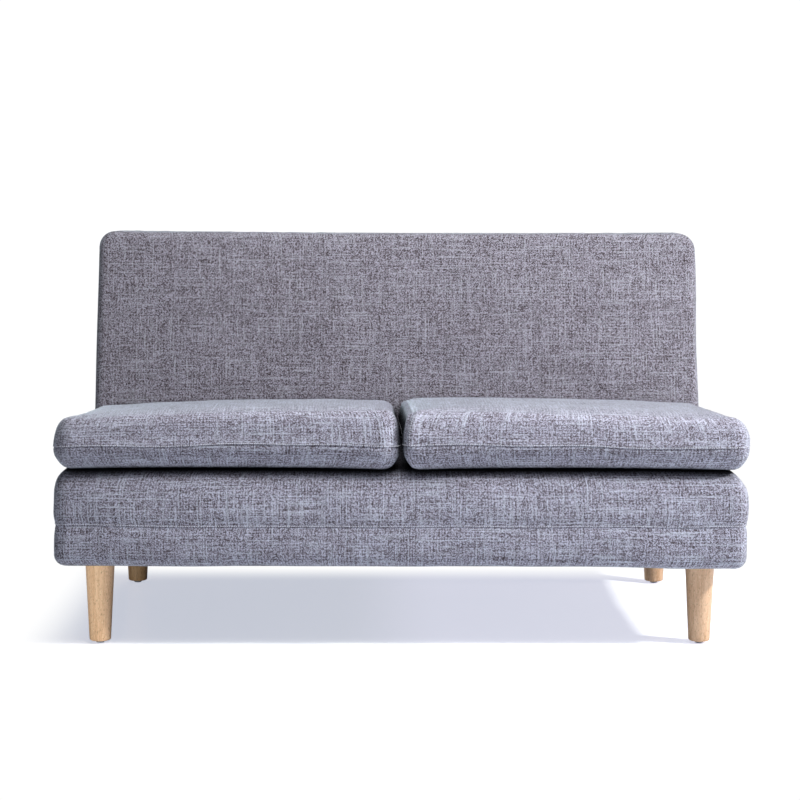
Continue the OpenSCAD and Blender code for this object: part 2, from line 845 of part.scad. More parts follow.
module cushion_wrap(side) {
    low = inner_path(reversed(cushion_low_path), layer_t + soft_gap, [0, 1], [1, 0]);
    top = inner_path(cushion_top_path, layer_t, [1, 0], [0, -1]);
    path = concat(low, [for (i = [1:len(top) - 1]) top[i]]);
    rim = [top[len(top) - 1]];
    rings = concat(
        cushion_rings(path, inner_steps, side), cushion_crown_rings(rim, inner_steps, side));
    top_point = cushion_point([0, 0, rim[0][1] + cushion_crown], side);
    color(felt_colour) difference() {
        loft(cushion_point([0, 0, low[0][1]], side), rings, top_point, flip = true);
        core_block(cushion_w);
        bar(zip_l / 2 + overrun,
            [cushion_rear - fabric_t - tape_t - soft_gap, rear_seam_z - tape_h / 2 - soft_gap],
            [cushion_rear + overrun, rear_seam_z + tape_h / 2 + soft_gap]);
    }
}

// The zip's tape behind the slot in the cover, with its chain of teeth and two end stops
module zip() {
    stop_l = chain_w;
    color(tape_colour) translate([0, 0, rear_seam_z]) {
        bar(zip_l / 2, [tape_face - tape_t, -tape_h / 2], [tape_face, tape_h / 2]);
        bar(zip_l / 2 - stop_l, [tape_face, -chain_w / 2], [tape_face + chain_t, chain_w / 2]);
        for (side = [-1, 1])
            translate([side * (zip_l / 2 - stop_l / 2), 0, 0])
                bar(stop_l / 2, [tape_face, -slider_w / 2], [tape_face + chain_t, slider_w / 2]);
    }
}

// A plate that rides over the chain between two cheeks, with its pull
module zip_slider() {
    back = tape_face + chain_t + slider_gap;
    lip = (slider_w - chain_w) / 2 - slider_gap;
    translate([-slider_reach, 0, rear_seam_z]) color(steel_colour) {
        bar(slider_l / 2, [back, -slider_w / 2], [back + slider_t, slider_w / 2]);
        for (side = [-1, 1])
            translate([0, 0, side * (slider_w - lip) / 2])
                bar(slider_l / 2, [tape_face + slider_gap, -lip / 2], [back, lip / 2]);
        box([0, back + slider_t, -chain_w / 2], [pull_l, back + slider_t + tape_t / 2, chain_w / 2]);
    }
}

module place_cushion(side) {
    translate([side * cushion_x, 0, 0]) children();
}

// Back

back_size = [overall_w, back_h];
back_radii = [back_foot_r, back_corner_r, back_corner_r, back_foot_r];
back_mids = [3, 1];

// A point of the back's outline, given from its middle, with the top edge dipped in the middle
function outline_point(x, z) =
    let (across = 2 * x / overall_w, up = max(z / back_h + 1 / 2, 0))
    [x, back_mid_z + z - top_dip * (1 - across * across) * pow(up, 3)];

// A point of the back. Its height p.z counts to the front from the leaning face, or, past
// half of the far depth, from the upright rear.
far = 10 * back_depth;
function back_point(p) =
    let (q = outline_point(p.x, p.y))
    [q[0], p.z < -far / 2 ? base_rear - far - p.z : back_face(q[1]) - p.z, q[1]];

// [inset, height] of the cover, from the rear panel to the rim of the front face
back_path = concat(
    [[rear_panel_inset, fabric_t - far], [0, rear_edge_d - far]],
    shifted(edge_path(back_edge_r, back_edge_r, low_edge_power, back_edge_rings), [0, -back_edge_r]));

function back_rings(path, steps) =
    let (flat = path_rings(path, back_size, back_radii, steps, back_mids))
    bent(
        concat(flat, crown_rings(flat[len(flat) - 1], back_crown)),
        function (p) back_point(p));

module back_cover_front() {
    outer = back_rings(back_path, cover_steps);
    inner = back_rings(inner_path(back_path, fabric_t, [1, 0], [0, -1]), cover_steps);
    face = back_point([0, 0, back_crown]);
    lining = back_point([0, 0, back_crown - fabric_t]);
    color(cloth_colour) difference() {
        loft(face, concat(reversed(outer), inner), lining);
        back_bolt_holes(deck_h, deck_h + fabric_t);
    }
}

module back_cover_rear() {
    outline = [for (q = round_ring(back_size, back_radii, rear_panel_inset, cover_steps, back_mids))
        outline_point(q.x, q.y)];
    color(cloth_colour) translate([0, base_rear, 0]) rotate([90, 0, 0])
        linear_extrude(fabric_t) polygon(outline);
}

// The outline in Y and Z of the leaning frame between two heights, its front moved by ahead
function frame_outline(low, high, ahead = 0) = [
    [back_frame_face(low) - ahead, low], [back_board_y, low],
    [back_board_y, high], [back_frame_face(high) - ahead, high]];

module back_foam() {
    path = inner_path(back_path, layer_t, [1, 0], [0, -1]);
    front = back_point([0, 0, back_crown - layer_t]);
    low = deck_h - overrun;
    color(foam_colour) difference() {
        loft(front, reversed(back_rings(path, inner_steps)), [0, base_rear - fabric_t, back_mid_z]);
        side_profile([
            [back_frame_face(low) - web_t, low], [overall_d, low],
            [overall_d, back_frame_top], [back_frame_face(back_frame_top) - web_t, back_frame_top]],
            -back_frame_x, back_frame_x);
    }
}

// A point in the depth of the leaning frame, by its share of the depth at height z
function frame_depth_point(z, share) =
    back_frame_face(z) + share * (back_board_y - back_frame_face(z));

// Screws through the posts into the rails, and through the rails into the stile
module back_screw_set(gap) {
    for (side = [-1, 1])
        for (z = [back_frame_z + back_rail_h / 2, back_frame_top - back_rail_h / 2])
            for (share = [0.3, 0.7])
                translate([side * back_frame_x, frame_depth_point(z, share), z])
                    rotate([0, -90 * side, 0]) wood_screw(gap);
    translate([0, frame_depth_point(back_frame_z, 1 / 2), back_frame_z]) wood_screw(gap);
    translate([0, frame_depth_point(back_frame_top, 1 / 2), back_frame_top])
        mirror([0, 0, 1]) wood_screw(gap);
}

module back_post(side) {
    x = side < 0 ? -back_frame_x : back_frame_x - post_t;
    color(ply_colour) difference() {
        side_profile(frame_outline(back_frame_z, back_frame_top), x, x + post_t);
        back_screw_set(hole_gap);
    }
}

module back_centre_stile() {
    color(ply_colour) difference() {
        side_profile(frame_outline(back_low_rail_top, back_top_rail_z), -post_t / 2, post_t / 2);
        back_screw_set(hole_gap);
    }
}

module back_top_rail() {
    half_w = back_frame_x - post_t;
    color(ply_colour) difference() {
        side_profile(frame_outline(back_top_rail_z, back_frame_top), -half_w, half_w);
        back_screw_set(hole_gap);
    }
}

module back_bottom_rail() {
    half_w = back_frame_x - post_t;
    color(ply_colour) difference() {
        side_profile(frame_outline(back_frame_z, back_low_rail_top), -half_w, half_w);
        back_screw_set(hole_gap);
        at_back_bolts() translate([0, 0, back_low_rail_top]) tee_hole(back_rail_h);
    }
}

module back_webbing() {
    low = back_frame_z;
    high = back_frame_top;
    band = [
        [back_frame_face(low) - web_t, low], [back_frame_face(low), low],
        [back_frame_face(high), high], [back_frame_face(high) - web_t, high]];
    color(lining_colour) for (i = [0:web_count - 1])
        translate([inner_x * ((2 * i + 1) / web_count - 1), 0, 0])
            side_profile(band, -web_w / 2, web_w / 2);
}

module back_board() {
    low = [back_board_y, back_frame_z + rear_panel_inset];
    color(ply_colour) bar(back_frame_x, low, [back_board_y + back_board_t, back_frame_top]);
}

module back_bolts() {
    head_z = board_z - washer_t - bolt_head_h;
    top_z = back_low_rail_top + tee_flange_t + bolt_end;
    color(steel_colour) at_back_bolts() translate([0, 0, head_z]) {
        cylinder(d = bolt_head_d, h = bolt_head_h, $fn = 6);
        cylinder(d = bolt_d, h = top_z - head_z);
    }
}

module back_washers() {
    color(steel_colour) at_back_bolts() translate([0, 0, board_z - washer_t]) difference() {
        cylinder(d = washer_d, h = washer_t);
        translate([0, 0, -overrun]) cylinder(d = bolt_d + 2 * hole_gap, h = washer_t + 2 * overrun);
    }
}

module back_tee_nuts() {
    color(steel_colour) at_back_bolts() translate([0, 0, back_low_rail_top]) tee_nut();
}

module back_screws() {
    color(steel_colour) back_screw_set(0);
}

leg(-1, -1);  // leg_front_left
leg(1, -1);  // leg_front_right
leg(-1, 1);  // leg_rear_left
leg(1, 1);  // leg_rear_right
glide(-1, -1);  // glide_front_left
glide(1, -1);  // glide_front_right
glide(-1, 1);  // glide_rear_left
glide(1, 1);  // glide_rear_right
leg_bolts();
leg_tee_nuts();
corner_block(-1, -1);  // corner_block_front_left
corner_block(1, -1);  // corner_block_front_right
corner_block(-1, 1);  // corner_block_rear_left
corner_block(1, 1);  // corner_block_rear_right
front_rail();
rear_rail();
cheek(-1);  // left_cheek
cheek(1);  // right_cheek
mid_rail();
spring_ledger();
centre_rail();
rear_deck_board();
frame_screws();
seat_springs();
spring_clips();
spring_felt();
seat_foam();
rear_pad();
frame_pad();
base_cover_top();
base_cover_band();
dust_cover();
back_post(-1);  // back_left_post
back_post(1);  // back_right_post
back_centre_stile();
back_top_rail();
back_bottom_rail();
back_webbing();
back_board();
back_foam();
back_cover_front();
back_cover_rear();
back_bolts();
back_washers();
back_tee_nuts();
back_screws();
place_cushion(-1) cushion_top(-1);  // left_cushion_top
place_cushion(-1) cushion_bottom(-1);  // left_cushion_bottom
place_cushion(-1) cushion_core();  // left_cushion_core
place_cushion(-1) cushion_wrap(-1);  // left_cushion_wrap
place_cushion(-1) zip();  // left_zip
place_cushion(-1) zip_slider();  // left_zip_slider
place_cushion(1) cushion_top(1);  // right_cushion_top
place_cushion(1) cushion_bottom(1);  // right_cushion_bottom
place_cushion(1) cushion_core();  // right_cushion_core
place_cushion(1) cushion_wrap(1);  // right_cushion_wrap
place_cushion(1) zip();  // right_zip
place_cushion(1) zip_slider();  // right_zip_slider
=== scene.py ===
"""Looks of an armless two-seat sofa: sewn covers, seams, zips, wooden legs, stage and light.

Every size is in metres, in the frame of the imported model: X runs across the seat, Y to the
rear and Z up. The covers are sewn boxes of cloth: a face whose four sides turn down to a seam,
with the threads of the weave following the cut of each panel.
"""

import logging
import math
from dataclasses import dataclass, field
from enum import Enum
from typing import Callable, Sequence

import bmesh
import bpy
import numpy as np
from mathutils import Matrix, Vector, kdtree


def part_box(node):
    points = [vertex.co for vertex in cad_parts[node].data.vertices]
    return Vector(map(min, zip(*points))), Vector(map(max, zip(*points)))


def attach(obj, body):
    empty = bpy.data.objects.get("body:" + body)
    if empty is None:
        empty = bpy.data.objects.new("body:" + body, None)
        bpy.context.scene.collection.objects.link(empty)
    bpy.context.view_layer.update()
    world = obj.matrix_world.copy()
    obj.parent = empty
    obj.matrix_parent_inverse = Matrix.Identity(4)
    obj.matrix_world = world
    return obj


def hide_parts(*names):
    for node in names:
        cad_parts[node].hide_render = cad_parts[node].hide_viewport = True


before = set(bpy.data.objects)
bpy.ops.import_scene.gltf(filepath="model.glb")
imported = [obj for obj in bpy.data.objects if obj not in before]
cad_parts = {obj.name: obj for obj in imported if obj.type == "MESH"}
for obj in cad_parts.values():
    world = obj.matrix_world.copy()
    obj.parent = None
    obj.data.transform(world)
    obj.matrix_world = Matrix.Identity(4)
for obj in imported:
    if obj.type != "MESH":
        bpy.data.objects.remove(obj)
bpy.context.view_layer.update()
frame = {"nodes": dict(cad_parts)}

LOG = logging.getLogger("sofa")
CLOTH_MAP = "Cloth"
MM = 0.001
# Colour of a dark diffuse that paints shade into the crevices of the cloth and the thread.
PAINTED_CREVICE_SHADE = (0.03, 0.03, 0.036)
Array = np.ndarray
Colour = tuple[float, float, float]
Point = tuple[float, float, float]
Span = tuple[float, float]
Model = bpy.types.Object
Material = bpy.types.Material


# Small helpers


def smooth(value: Array | float, low: float, high: float) -> Array | float:
    """Rises from 0 at low to 1 at high, gently at both ends."""
    t = np.clip((np.asarray(value, float) - low) / (high - low), 0, 1)
    return t * t * (3 - 2 * t)


def hump(value: Array, up: Span, down: Span) -> Array:
    """Rises from 0 to 1 over one span and falls back to 0 over another."""
    return smooth(value, *up) * (1 - smooth(value, *down))


def rounded_edge(depth: float, height: float, power: float) -> Array:
    """The path of a rounded edge, from upright at the start to level at the end.

    Args:
        depth: How far the edge turns in.
        height: How far it rises.
        power: 2 for an ellipse, more for a squarer edge.

    Returns:
        Rows of inset and height.
    """
    steps = 24
    angle = np.linspace(0, math.pi / 2, steps + 1)
    c, s = np.clip(np.cos(angle), 0, 1), np.sin(angle)
    return np.stack([depth * (1 - c ** (2 / power)), height * s ** (2 / power)], 1)


def graded(length: float, step: float, finest: float, both: bool = False) -> Array:
    """Places along a length that lie close together at its start and widen to a step.

    Args:
        length: The whole length.
        step: The widest spacing.
        finest: The spacing at the start.
        both: Whether the end is as fine as the start.

    Returns:
        Shares of the length, from 0 to 1.
    """
    growth = 1.35
    reach = length / 2 if both else length
    places, gap = [0.0], finest
    while places[-1] + gap < reach:
        places.append(places[-1] + gap)
        gap = min(gap * growth, step)
    half = np.array(places) * reach / (places[-1] + 0.5 * gap) if both else np.array(places)
    if both:
        return np.concatenate([half, length - half[::-1]]) / length
    if reach - half[-1] <= 0.4 * gap:
        half = half[:-1]
    return np.append(half, reach) / length


def unit(ways: Array) -> Array:
    """Directions of length 1, from rows of any length."""
    return ways / np.maximum(np.linalg.norm(ways, axis=1, keepdims=True), 1e-9)


def squared(share: Array) -> Array:
    """A sine or cosine pushed outwards, so that a round section becomes nearly square."""
    return np.sign(share) * np.abs(share) ** 0.5


@dataclass(frozen=True)
class Ripple:
    """A smooth waviness that is the same on every run.

    Attributes:
        length: Its usual wave length.
        height: Its usual height.
        seed: Number that picks its waves.
        waves: How many waves are laid over each other.
    """

    length: float
    height: float
    seed: int
    waves: int = 9

    def at(self, *places: Array) -> Array:
        """The height at the given places.

        Args:
            *places: One array for each coordinate.

        Returns:
            The height at each place.
        """
        rng = np.random.default_rng(self.seed)
        total = 0.0
        for _ in range(self.waves):
            way = rng.normal(size=len(places))
            way *= rng.uniform(0.6, 1.5) / np.linalg.norm(way)
            turn = sum(w * p for w, p in zip(way, places)) * math.tau / self.length
            total = total + np.sin(turn + rng.uniform(0, math.tau))
        return self.height * total * math.sqrt(2 / self.waves)


@dataclass(frozen=True)
class Room:
    """The box that one or more CAD nodes fill at rest."""

    low: Vector
    high: Vector

    @classmethod
    def of(cls, *nodes: str) -> "Room":
        """Measures the box round some nodes.

        Args:
            *nodes: Their names.

        Returns:
            The box.
        """
        boxes = [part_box(n) for n in nodes]
        return cls(
            Vector([min(b[0][i] for b in boxes) for i in range(3)]),
            Vector([max(b[1][i] for b in boxes) for i in range(3)]),
        )

    @property
    def size(self) -> Vector:
        """Its three lengths."""
        return self.high - self.low

    @property
    def middle(self) -> Vector:
        """Its middle point."""
        return (self.high + self.low) / 2


class Skin:
    """Gathers grids of points into one mesh that carries the coordinates of its cloth."""

    def __init__(self, name: str) -> None:
        """Starts an empty skin.

        Args:
            name: Name of the piece that it becomes.
        """
        self.name = name
        self.points: list[Array] = []
        self.faces: list[Array] = []
        self.cloth: list[Array] = []
        self.count = 0

    def grid(self, points: Array, cloth: Array | None = None, flip: bool = False) -> None:
        """Adds a grid of quads.

        Args:
            points: Places, as rows by columns by three.
            cloth: Places on the flat cloth, as rows by columns by two, or None without a weave.
            flip: Whether its faces look the other way.
        """
        rows, cols = points.shape[:2]
        index = np.arange(rows * cols).reshape(rows, cols)
        corners = [index[:-1, :-1], index[:-1, 1:], index[1:, 1:], index[1:, :-1]]
        quads = np.stack(corners[::-1] if flip else corners, -1).reshape(-1, 4)
        self.quads(points.reshape(-1, 3), quads, None if cloth is None else cloth.reshape(-1, 2))

    def quads(self, points: Array, faces: Array, cloth: Array | None = None) -> None:
        """Adds quads that share their own points.

        Args:
            points: Places of the points.
            faces: Four numbers of these points for each face.
            cloth: Place of each point on the flat cloth, or None without a weave.
        """
        cloth = 0 * points[:, :2] if cloth is None else cloth
        self.points.append(points)
        self.faces.append(faces + self.count)
        self.cloth.append(cloth[faces.reshape(-1)])
        self.count += len(points)

    def build(self, finish: Material, merge: float = 0.02 * MM) -> Model:
        """Makes the piece.

        Args:
            finish: Its material.
            merge: Points closer than this become one.

        Returns:
            The new object, smooth shaded.
        """
        mesh = bpy.data.meshes.new(self.name)
        points, faces = np.concatenate(self.points), np.concatenate(self.faces)
        mesh.from_pydata(points.tolist(), [], faces.tolist())
        layer = mesh.uv_layers.new(name=CLOTH_MAP)
        layer.uv.foreach_set("vector", np.concatenate(self.cloth).astype(np.float32).ravel())
        if merge:
            welded = bmesh.new()
            welded.from_mesh(mesh)
            bmesh.ops.remove_doubles(welded, verts=welded.verts, dist=merge)
            welded.to_mesh(mesh)
            welded.free()
        mesh.polygons.foreach_set("use_smooth", [True] * len(mesh.polygons))
        mesh.materials.append(finish)
        piece = bpy.data.objects.new(self.name, mesh)
        bpy.context.scene.collection.objects.link(piece)
        return piece


def coordinates(piece: Model) -> Array:
    """Reads the places of a piece's points.

    Args:
        piece: The piece.

    Returns:
        Places, as rows of three.
    """
    places = np.empty(len(piece.data.vertices) * 3, np.float32)
    piece.data.vertices.foreach_get("co", places)
    return places.reshape(-1, 3).astype(float)


def move_points(piece: Model, places: Array) -> None:
    """Gives a piece's points new places."""
    piece.data.vertices.foreach_set("co", places.astype(np.float32).ravel())
    piece.data.update()


# Shader sums


@dataclass(frozen=True)
class Signal:
    """A number, vector or colour in a material, which takes part in sums."""

    shader: "Shader"
    socket: bpy.types.NodeSocket | None

    def _math(self, operation: str, *terms: "Signal | float") -> "Signal":
        """A Math node on these terms."""
        return self.shader.node("ShaderNodeMath", {"operation": operation}, dict(enumerate(terms)))

    def __add__(self, other: "Signal | float") -> "Signal":
        """The sum."""
        return self._math("ADD", self, other)

    __radd__ = __add__

    def __sub__(self, other: "Signal | float") -> "Signal":
        """The difference."""
        return self._math("SUBTRACT", self, other)

    def __rsub__(self, other: float) -> "Signal":
        """A number less this."""
        return self._math("SUBTRACT", other, self)

    def __mul__(self, other: "Signal | float") -> "Signal":
        """The product."""
        return self._math("MULTIPLY", self, other)

    __rmul__ = __mul__

    def __truediv__(self, other: "Signal | float") -> "Signal":
        """The quotient."""
        return self._math("DIVIDE", self, other)

    def __rtruediv__(self, other: float) -> "Signal":
        """A number divided by this."""
        return self._math("DIVIDE", other, self)

    def floor(self) -> "Signal":
        """The whole number below."""
        return self._math("FLOOR", self)

    def fraction(self) -> "Signal":
        """What is left over the whole number below."""
        return self._math("FRACT", self)

    def size(self) -> "Signal":
        """The number without its sign."""
        return self._math("ABSOLUTE", self)

    def off_middle(self) -> "Signal":
        """How far it lies from the middle between two whole numbers."""
        return (self.fraction() - 0.5).size()

    def wave(self, length: float) -> "Signal":
        """A wave of a length along it, from -1 to 1."""
        return self._math("SINE", self * (math.tau / length))

    def at_most(self, other: "Signal | float") -> "Signal":
        """The lesser of the two."""
        return self._math("MINIMUM", self, other)

    def at_least(self, other: "Signal | float") -> "Signal":
        """The greater of the two."""
        return self._math("MAXIMUM", self, other)

    def rise(self, low: float, high: float) -> "Signal":
        """Goes smoothly from 0 at low to 1 at high."""
        return self.shader.node(
            "ShaderNodeMapRange", {"interpolation_type": "SMOOTHSTEP"},
            {"Value": self, "From Min": low, "From Max": high})


class Shader:
    """A material, or the surroundings, and the tree that its nodes go into."""

    def __init__(self, name: str, world: bool = False) -> None:
        """Starts it with an empty tree.

        Args:
            name: Its name.
            world: Whether it is for the surroundings.
        """
        self.output = "ShaderNodeOutputWorld" if world else "ShaderNodeOutputMaterial"
        self.material = (bpy.data.worlds if world else bpy.data.materials).new(name)
        self.material.use_nodes = True
        self.tree = self.material.node_tree
        self.tree.nodes.clear()

    def node(
        self,
        kind: str,
        settings: dict | None = None,
        inputs: dict | None = None,
        output: int | str = 0,
    ) -> Signal:
        """Makes a node.

        Args:
            kind: Its type.
            settings: Its own settings, set before its sockets. stops holds a ramp's stops.
            inputs: Values or links of its sockets, by name or number.
            output: The output to return.

        Returns:
            The chosen output, or an empty one of a node that ends the tree.
        """
        node = self.tree.nodes.new(kind)
        for key, value in (settings or {}).items():
            if key == "stops":
                ramp = node.color_ramp
                while len(ramp.elements) < len(value):
                    ramp.elements.new(0.5)
                for stop, (place, colour) in zip(ramp.elements, value):
                    stop.position, stop.color = place, (*colour, 1)
            else:
                setattr(node, key, value)
        for key, value in (inputs or {}).items():
            entry = node.inputs[key]
            if isinstance(value, Signal):
                self.tree.links.new(value.socket, entry)
            elif isinstance(value, tuple) and len(value) == 3 and len(entry.default_value) == 4:
                entry.default_value = (*value, 1)
            else:
                entry.default_value = value
        return Signal(self, node.outputs[output] if node.outputs else None)

    def split(self, vector: Signal) -> tuple[Signal, Signal, Signal]:
        """The three numbers of a vector."""
        parts = self.node("ShaderNodeSeparateXYZ", None, {0: vector}).socket.node
        return tuple(Signal(self, o) for o in parts.outputs)

    def join(self, x: Signal | float, y: Signal | float, z: Signal | float = 0.0) -> Signal:
        """A vector of three numbers."""
        return self.node("ShaderNodeCombineXYZ", None, {0: x, 1: y, 2: z})

    def over(self, place: Sequence[Signal], sizes: Sequence[float]) -> Signal:
        """A place measured in sizes, one for each of its numbers."""
        return self.join(*(number / size for number, size in zip(place, sizes)))

    def cloth_place(self) -> tuple[Signal, Signal]:
        """Where a point lies on its flat cloth, across and along."""
        place = self.node("ShaderNodeUVMap", {"uv_map": CLOTH_MAP}, None, "UV")
        return self.split(place)[:2]

    def body_place(self) -> tuple[Signal, Signal, Signal]:
        """Where a point lies in the row frame."""
        return self.split(self.node("ShaderNodeTexCoord", None, None, "Object"))

    def noise(self, place: Signal, detail: float = 0.0, rough: float = 0.5) -> Signal:
        """Smooth noise between 0 and 1, with features of about one unit of the place."""
        return self.node(
            "ShaderNodeTexNoise", {"noise_dimensions": "3D"},
            {"Vector": place, "Scale": 1.0, "Detail": detail, "Roughness": rough}, "Fac")

    def cells(self, place: Signal) -> Signal:
        """An even spread of numbers between 0 and 1, one for each whole place."""
        return self.node(
            "ShaderNodeTexWhiteNoise", {"noise_dimensions": "3D"}, {"Vector": place}, "Value")

    def mix(self, share: Signal, first: Signal | Colour, second: Signal | Colour) -> Signal:
        """Two colours mixed by a share."""
        return self.node("ShaderNodeMix", {"data_type": "RGBA"}, {0: share, 6: first, 7: second}, 2)

    def ramp(self, value: Signal, stops: Sequence[tuple[float, Colour]]) -> Signal:
        """Colours along a value."""
        return self.node("ShaderNodeValToRGB", {"stops": stops}, {0: value}, "Color")

    def shade_free_share(self, shut: float, clear: float) -> Signal:
        """Mask for painted shade: 0 in a crevice, where the surface is painted dark, to 1 in the
        open.

        Args:
            shut: Share of free directions that counts as a crevice.
            clear: Share of free directions that counts as open.

        Returns:
            The share of the surface left without painted shade.
        """
        reach = 32 * MM
        free = self.node("ShaderNodeAmbientOcclusion", {"samples": 6}, {"Distance": reach}, "AO")
        return free.rise(shut, clear)

    def bump(self, height: Signal, depth: float, strength: float = 1.0) -> Signal:
        """A surface direction from a height between 0 and 1 and its depth in metres."""
        return self.node(
            "ShaderNodeBump", None, {"Height": height, "Distance": depth, "Strength": strength})

    def surface(
        self, unshaded_share: Signal | None = None, **sockets: Signal | float | Colour
    ) -> Material:
        """Ends the material in a Principled surface.

        Args:
            unshaded_share: How much of the surface shows, over a dark diffuse that paints shade
                into crevices.
            **sockets: Socket values, with spaces in the names as underscores.

        Returns:
            The finished material.
        """
        named = {k.replace("_", " "): v for k, v in sockets.items()}
        body = self.node("ShaderNodeBsdfPrincipled", None, named)
        if unshaded_share is not None:
            # Painted shade: the dark diffuse shows where the share is low, in crevices.
            crevice_shade = self.node("ShaderNodeBsdfDiffuse", None, {"Color": PAINTED_CREVICE_SHADE})
            body = self.node("ShaderNodeMixShader", None, {0: unshaded_share, 1: crevice_shade, 2: body})
        self.node_out(body)
        return self.material

    def node_out(self, surface: Signal) -> None:
        """Ends the tree in a surface."""
        self.node(self.output, None, {"Surface": surface})


# Finishes


@dataclass(frozen=True)
class Linen:
    """The grey melange upholstery cloth, a plain weave of uneven yarns.

    Pairs are for the upright yarns and the level ones. The last number of a noise's place only
    keeps it apart from the other noises.

    Attributes:
        name: Name of the material.
        dark: Colour of the darkest yarn.
        middle: Colour of the usual yarn.
        light: Colour of the lightest yarn.
        slub: Colour of the thick places in the yarn.
        shade_tint: What the dye bath of this roll makes of every colour.
        yarn: Width of one yarn.
        spots: Spots of its own tone in one yarn's width.
        grain: How far one spot differs from the next.
        run: How far one yarn differs from the next.
        run_length: Length over which a yarn keeps its tone.
        cloud: How far one patch of cloth differs from the next.
        patch: Size of a patch.
        rib: Spacing of the rows that the weave shows.
        ribs: How far those rows stand out.
        thick: Noise where a thick place starts, and where it is full.
        slub_length: Length of the thick places.
        slub_share: How much of their own colour they show.
        stray: How far the yarns stray from straight.
        stray_length: Length over which they stray.
    """

    name: str = "linen_cloth"
    dark: Colour = (0.055, 0.042, 0.048)
    middle: Colour = (0.245, 0.226, 0.282)
    light: Colour = (0.51, 0.525, 0.65)
    slub: Colour = (0.60, 0.65, 0.76)
    shade_tint: Colour = (1.0, 1.0, 1.0)
    yarn: float = 1.75 * MM
    spots: float = 1.3
    grain: float = 1.15
    run: float = 0.72
    run_length: Span = (85 * MM, 110 * MM)
    cloud: float = 0.10
    patch: float = 30 * MM
    rib: float = 5.3 * MM
    ribs: Span = (0.09, 0.075)
    thick: Span = (0.60, 0.68)
    slub_length: Span = (90 * MM, 110 * MM)
    slub_share: float = 0.58
    stray: Span = (0.9 * MM, 0.7 * MM)
    stray_length: float = 14 * MM

    def _shade_tinted(self, colour: Colour) -> Colour:
        """A yarn's colour times the shade tint."""
        return tuple(c * d for c, d in zip(colour, self.shade_tint))

    def _yarn(self, s: Shader, number: Signal, run: Signal, length: float, layer: float) -> Signal:
        """Noise that each yarn has to itself, drawn out along it."""
        return s.noise(s.join(number * 3.7, run / length, layer), detail=1.0)

    def material(self) -> Material:
        """Builds the material.

        Returns:
            The finished material.
        """
        s = Shader(self.name)
        x, y = s.cloth_place()
        stray = s.noise(s.join(x / self.stray_length, y / self.stray_length, 3.0)) - 0.5
        x, y = x + stray * self.stray[0], y + stray * self.stray[1]
        across, along = x / self.yarn, y / self.yarn
        column, row = across.floor(), along.floor()
        spot = s.join((across * self.spots).floor(), (along * self.spots).floor(), 1.0)
        spot = s.cells(spot) - 0.5
        upright, level = self.run_length
        runs = self._yarn(s, column, y, upright, 2.0) + self._yarn(s, row, x, level, 8.0) - 1.0
        cloud = s.noise(s.join(x / self.patch, y / self.patch, 4.0), detail=2.0) - 0.5
        ribs = x.wave(self.rib) * self.ribs[0] + y.wave(self.rib) * self.ribs[1]
        tone = 0.5 + spot * self.grain + runs * self.run + cloud * self.cloud + ribs
        yarns = (self.dark, self.middle, self.light)
        colour = s.ramp(tone, [(share, self._shade_tinted(c)) for share, c in zip((0.0, 0.5, 1.0), yarns)])
        upright, level = self.slub_length
        slubs = (
            self._yarn(s, column, y, upright, 12.0).rise(*self.thick)
            .at_least(self._yarn(s, row, x, level, 17.0).rise(*self.thick))
        )
        broken = s.cells(s.join(column, row, 21.0)) * 0.6 + 0.4
        colour = s.mix(slubs * broken * self.slub_share, colour, self._shade_tinted(self.slub))
        round_yarn = (across.off_middle() * -2.0 + 1.0) * (along.off_middle() * -2.0 + 1.0)
        height = round_yarn * 0.6 + slubs * 0.4 + spot * 0.3
        # Painted shade: where the cloth lies in a crevice, a dark diffuse is mixed over it.
        return s.surface(
            s.shade_free_share(0.28, 0.86),
            Base_Color=colour, Roughness=0.92, Specular_IOR_Level=0.25,
            Sheen_Weight=0.45, Sheen_Roughness=0.45, Sheen_Tint=(0.74, 0.90, 1.0),
            Normal=s.bump(height, 0.35 * MM, 0.34))


@dataclass(frozen=True)
class Thread:
    """Sewing thread, laid in two twisted strands.

    Attributes:
        name: Name of the material.
        colour: Its colour.
        shade: Its colour where it is worn.
        twist: Length of one turn of its strands.
        patch: Size of its worn places.
    """

    name: str = "sewing_thread"
    colour: Colour = (0.80, 0.81, 0.88)
    shade: Colour = (0.46, 0.46, 0.55)
    twist: float = 0.9 * MM
    patch: float = 30 * MM

    def material(self) -> Material:
        """Builds the material.

        Returns:
            The finished material.
        """
        s = Shader(self.name)
        x, y, z = place = s.body_place()
        strands = (x + y + z).wave(self.twist) * 0.5 + 0.5
        worn = s.noise(s.over(place, (self.patch,) * 3)).rise(0.3, 0.7)
        # Painted shade: where the thread lies in a crevice, a dark diffuse is mixed over it.
        return s.surface(
            s.shade_free_share(0.12, 0.5), Base_Color=s.mix(worn * 0.35, self.colour, self.shade),
            Roughness=0.6, Normal=s.bump(strands, 0.1 * MM, 0.6))


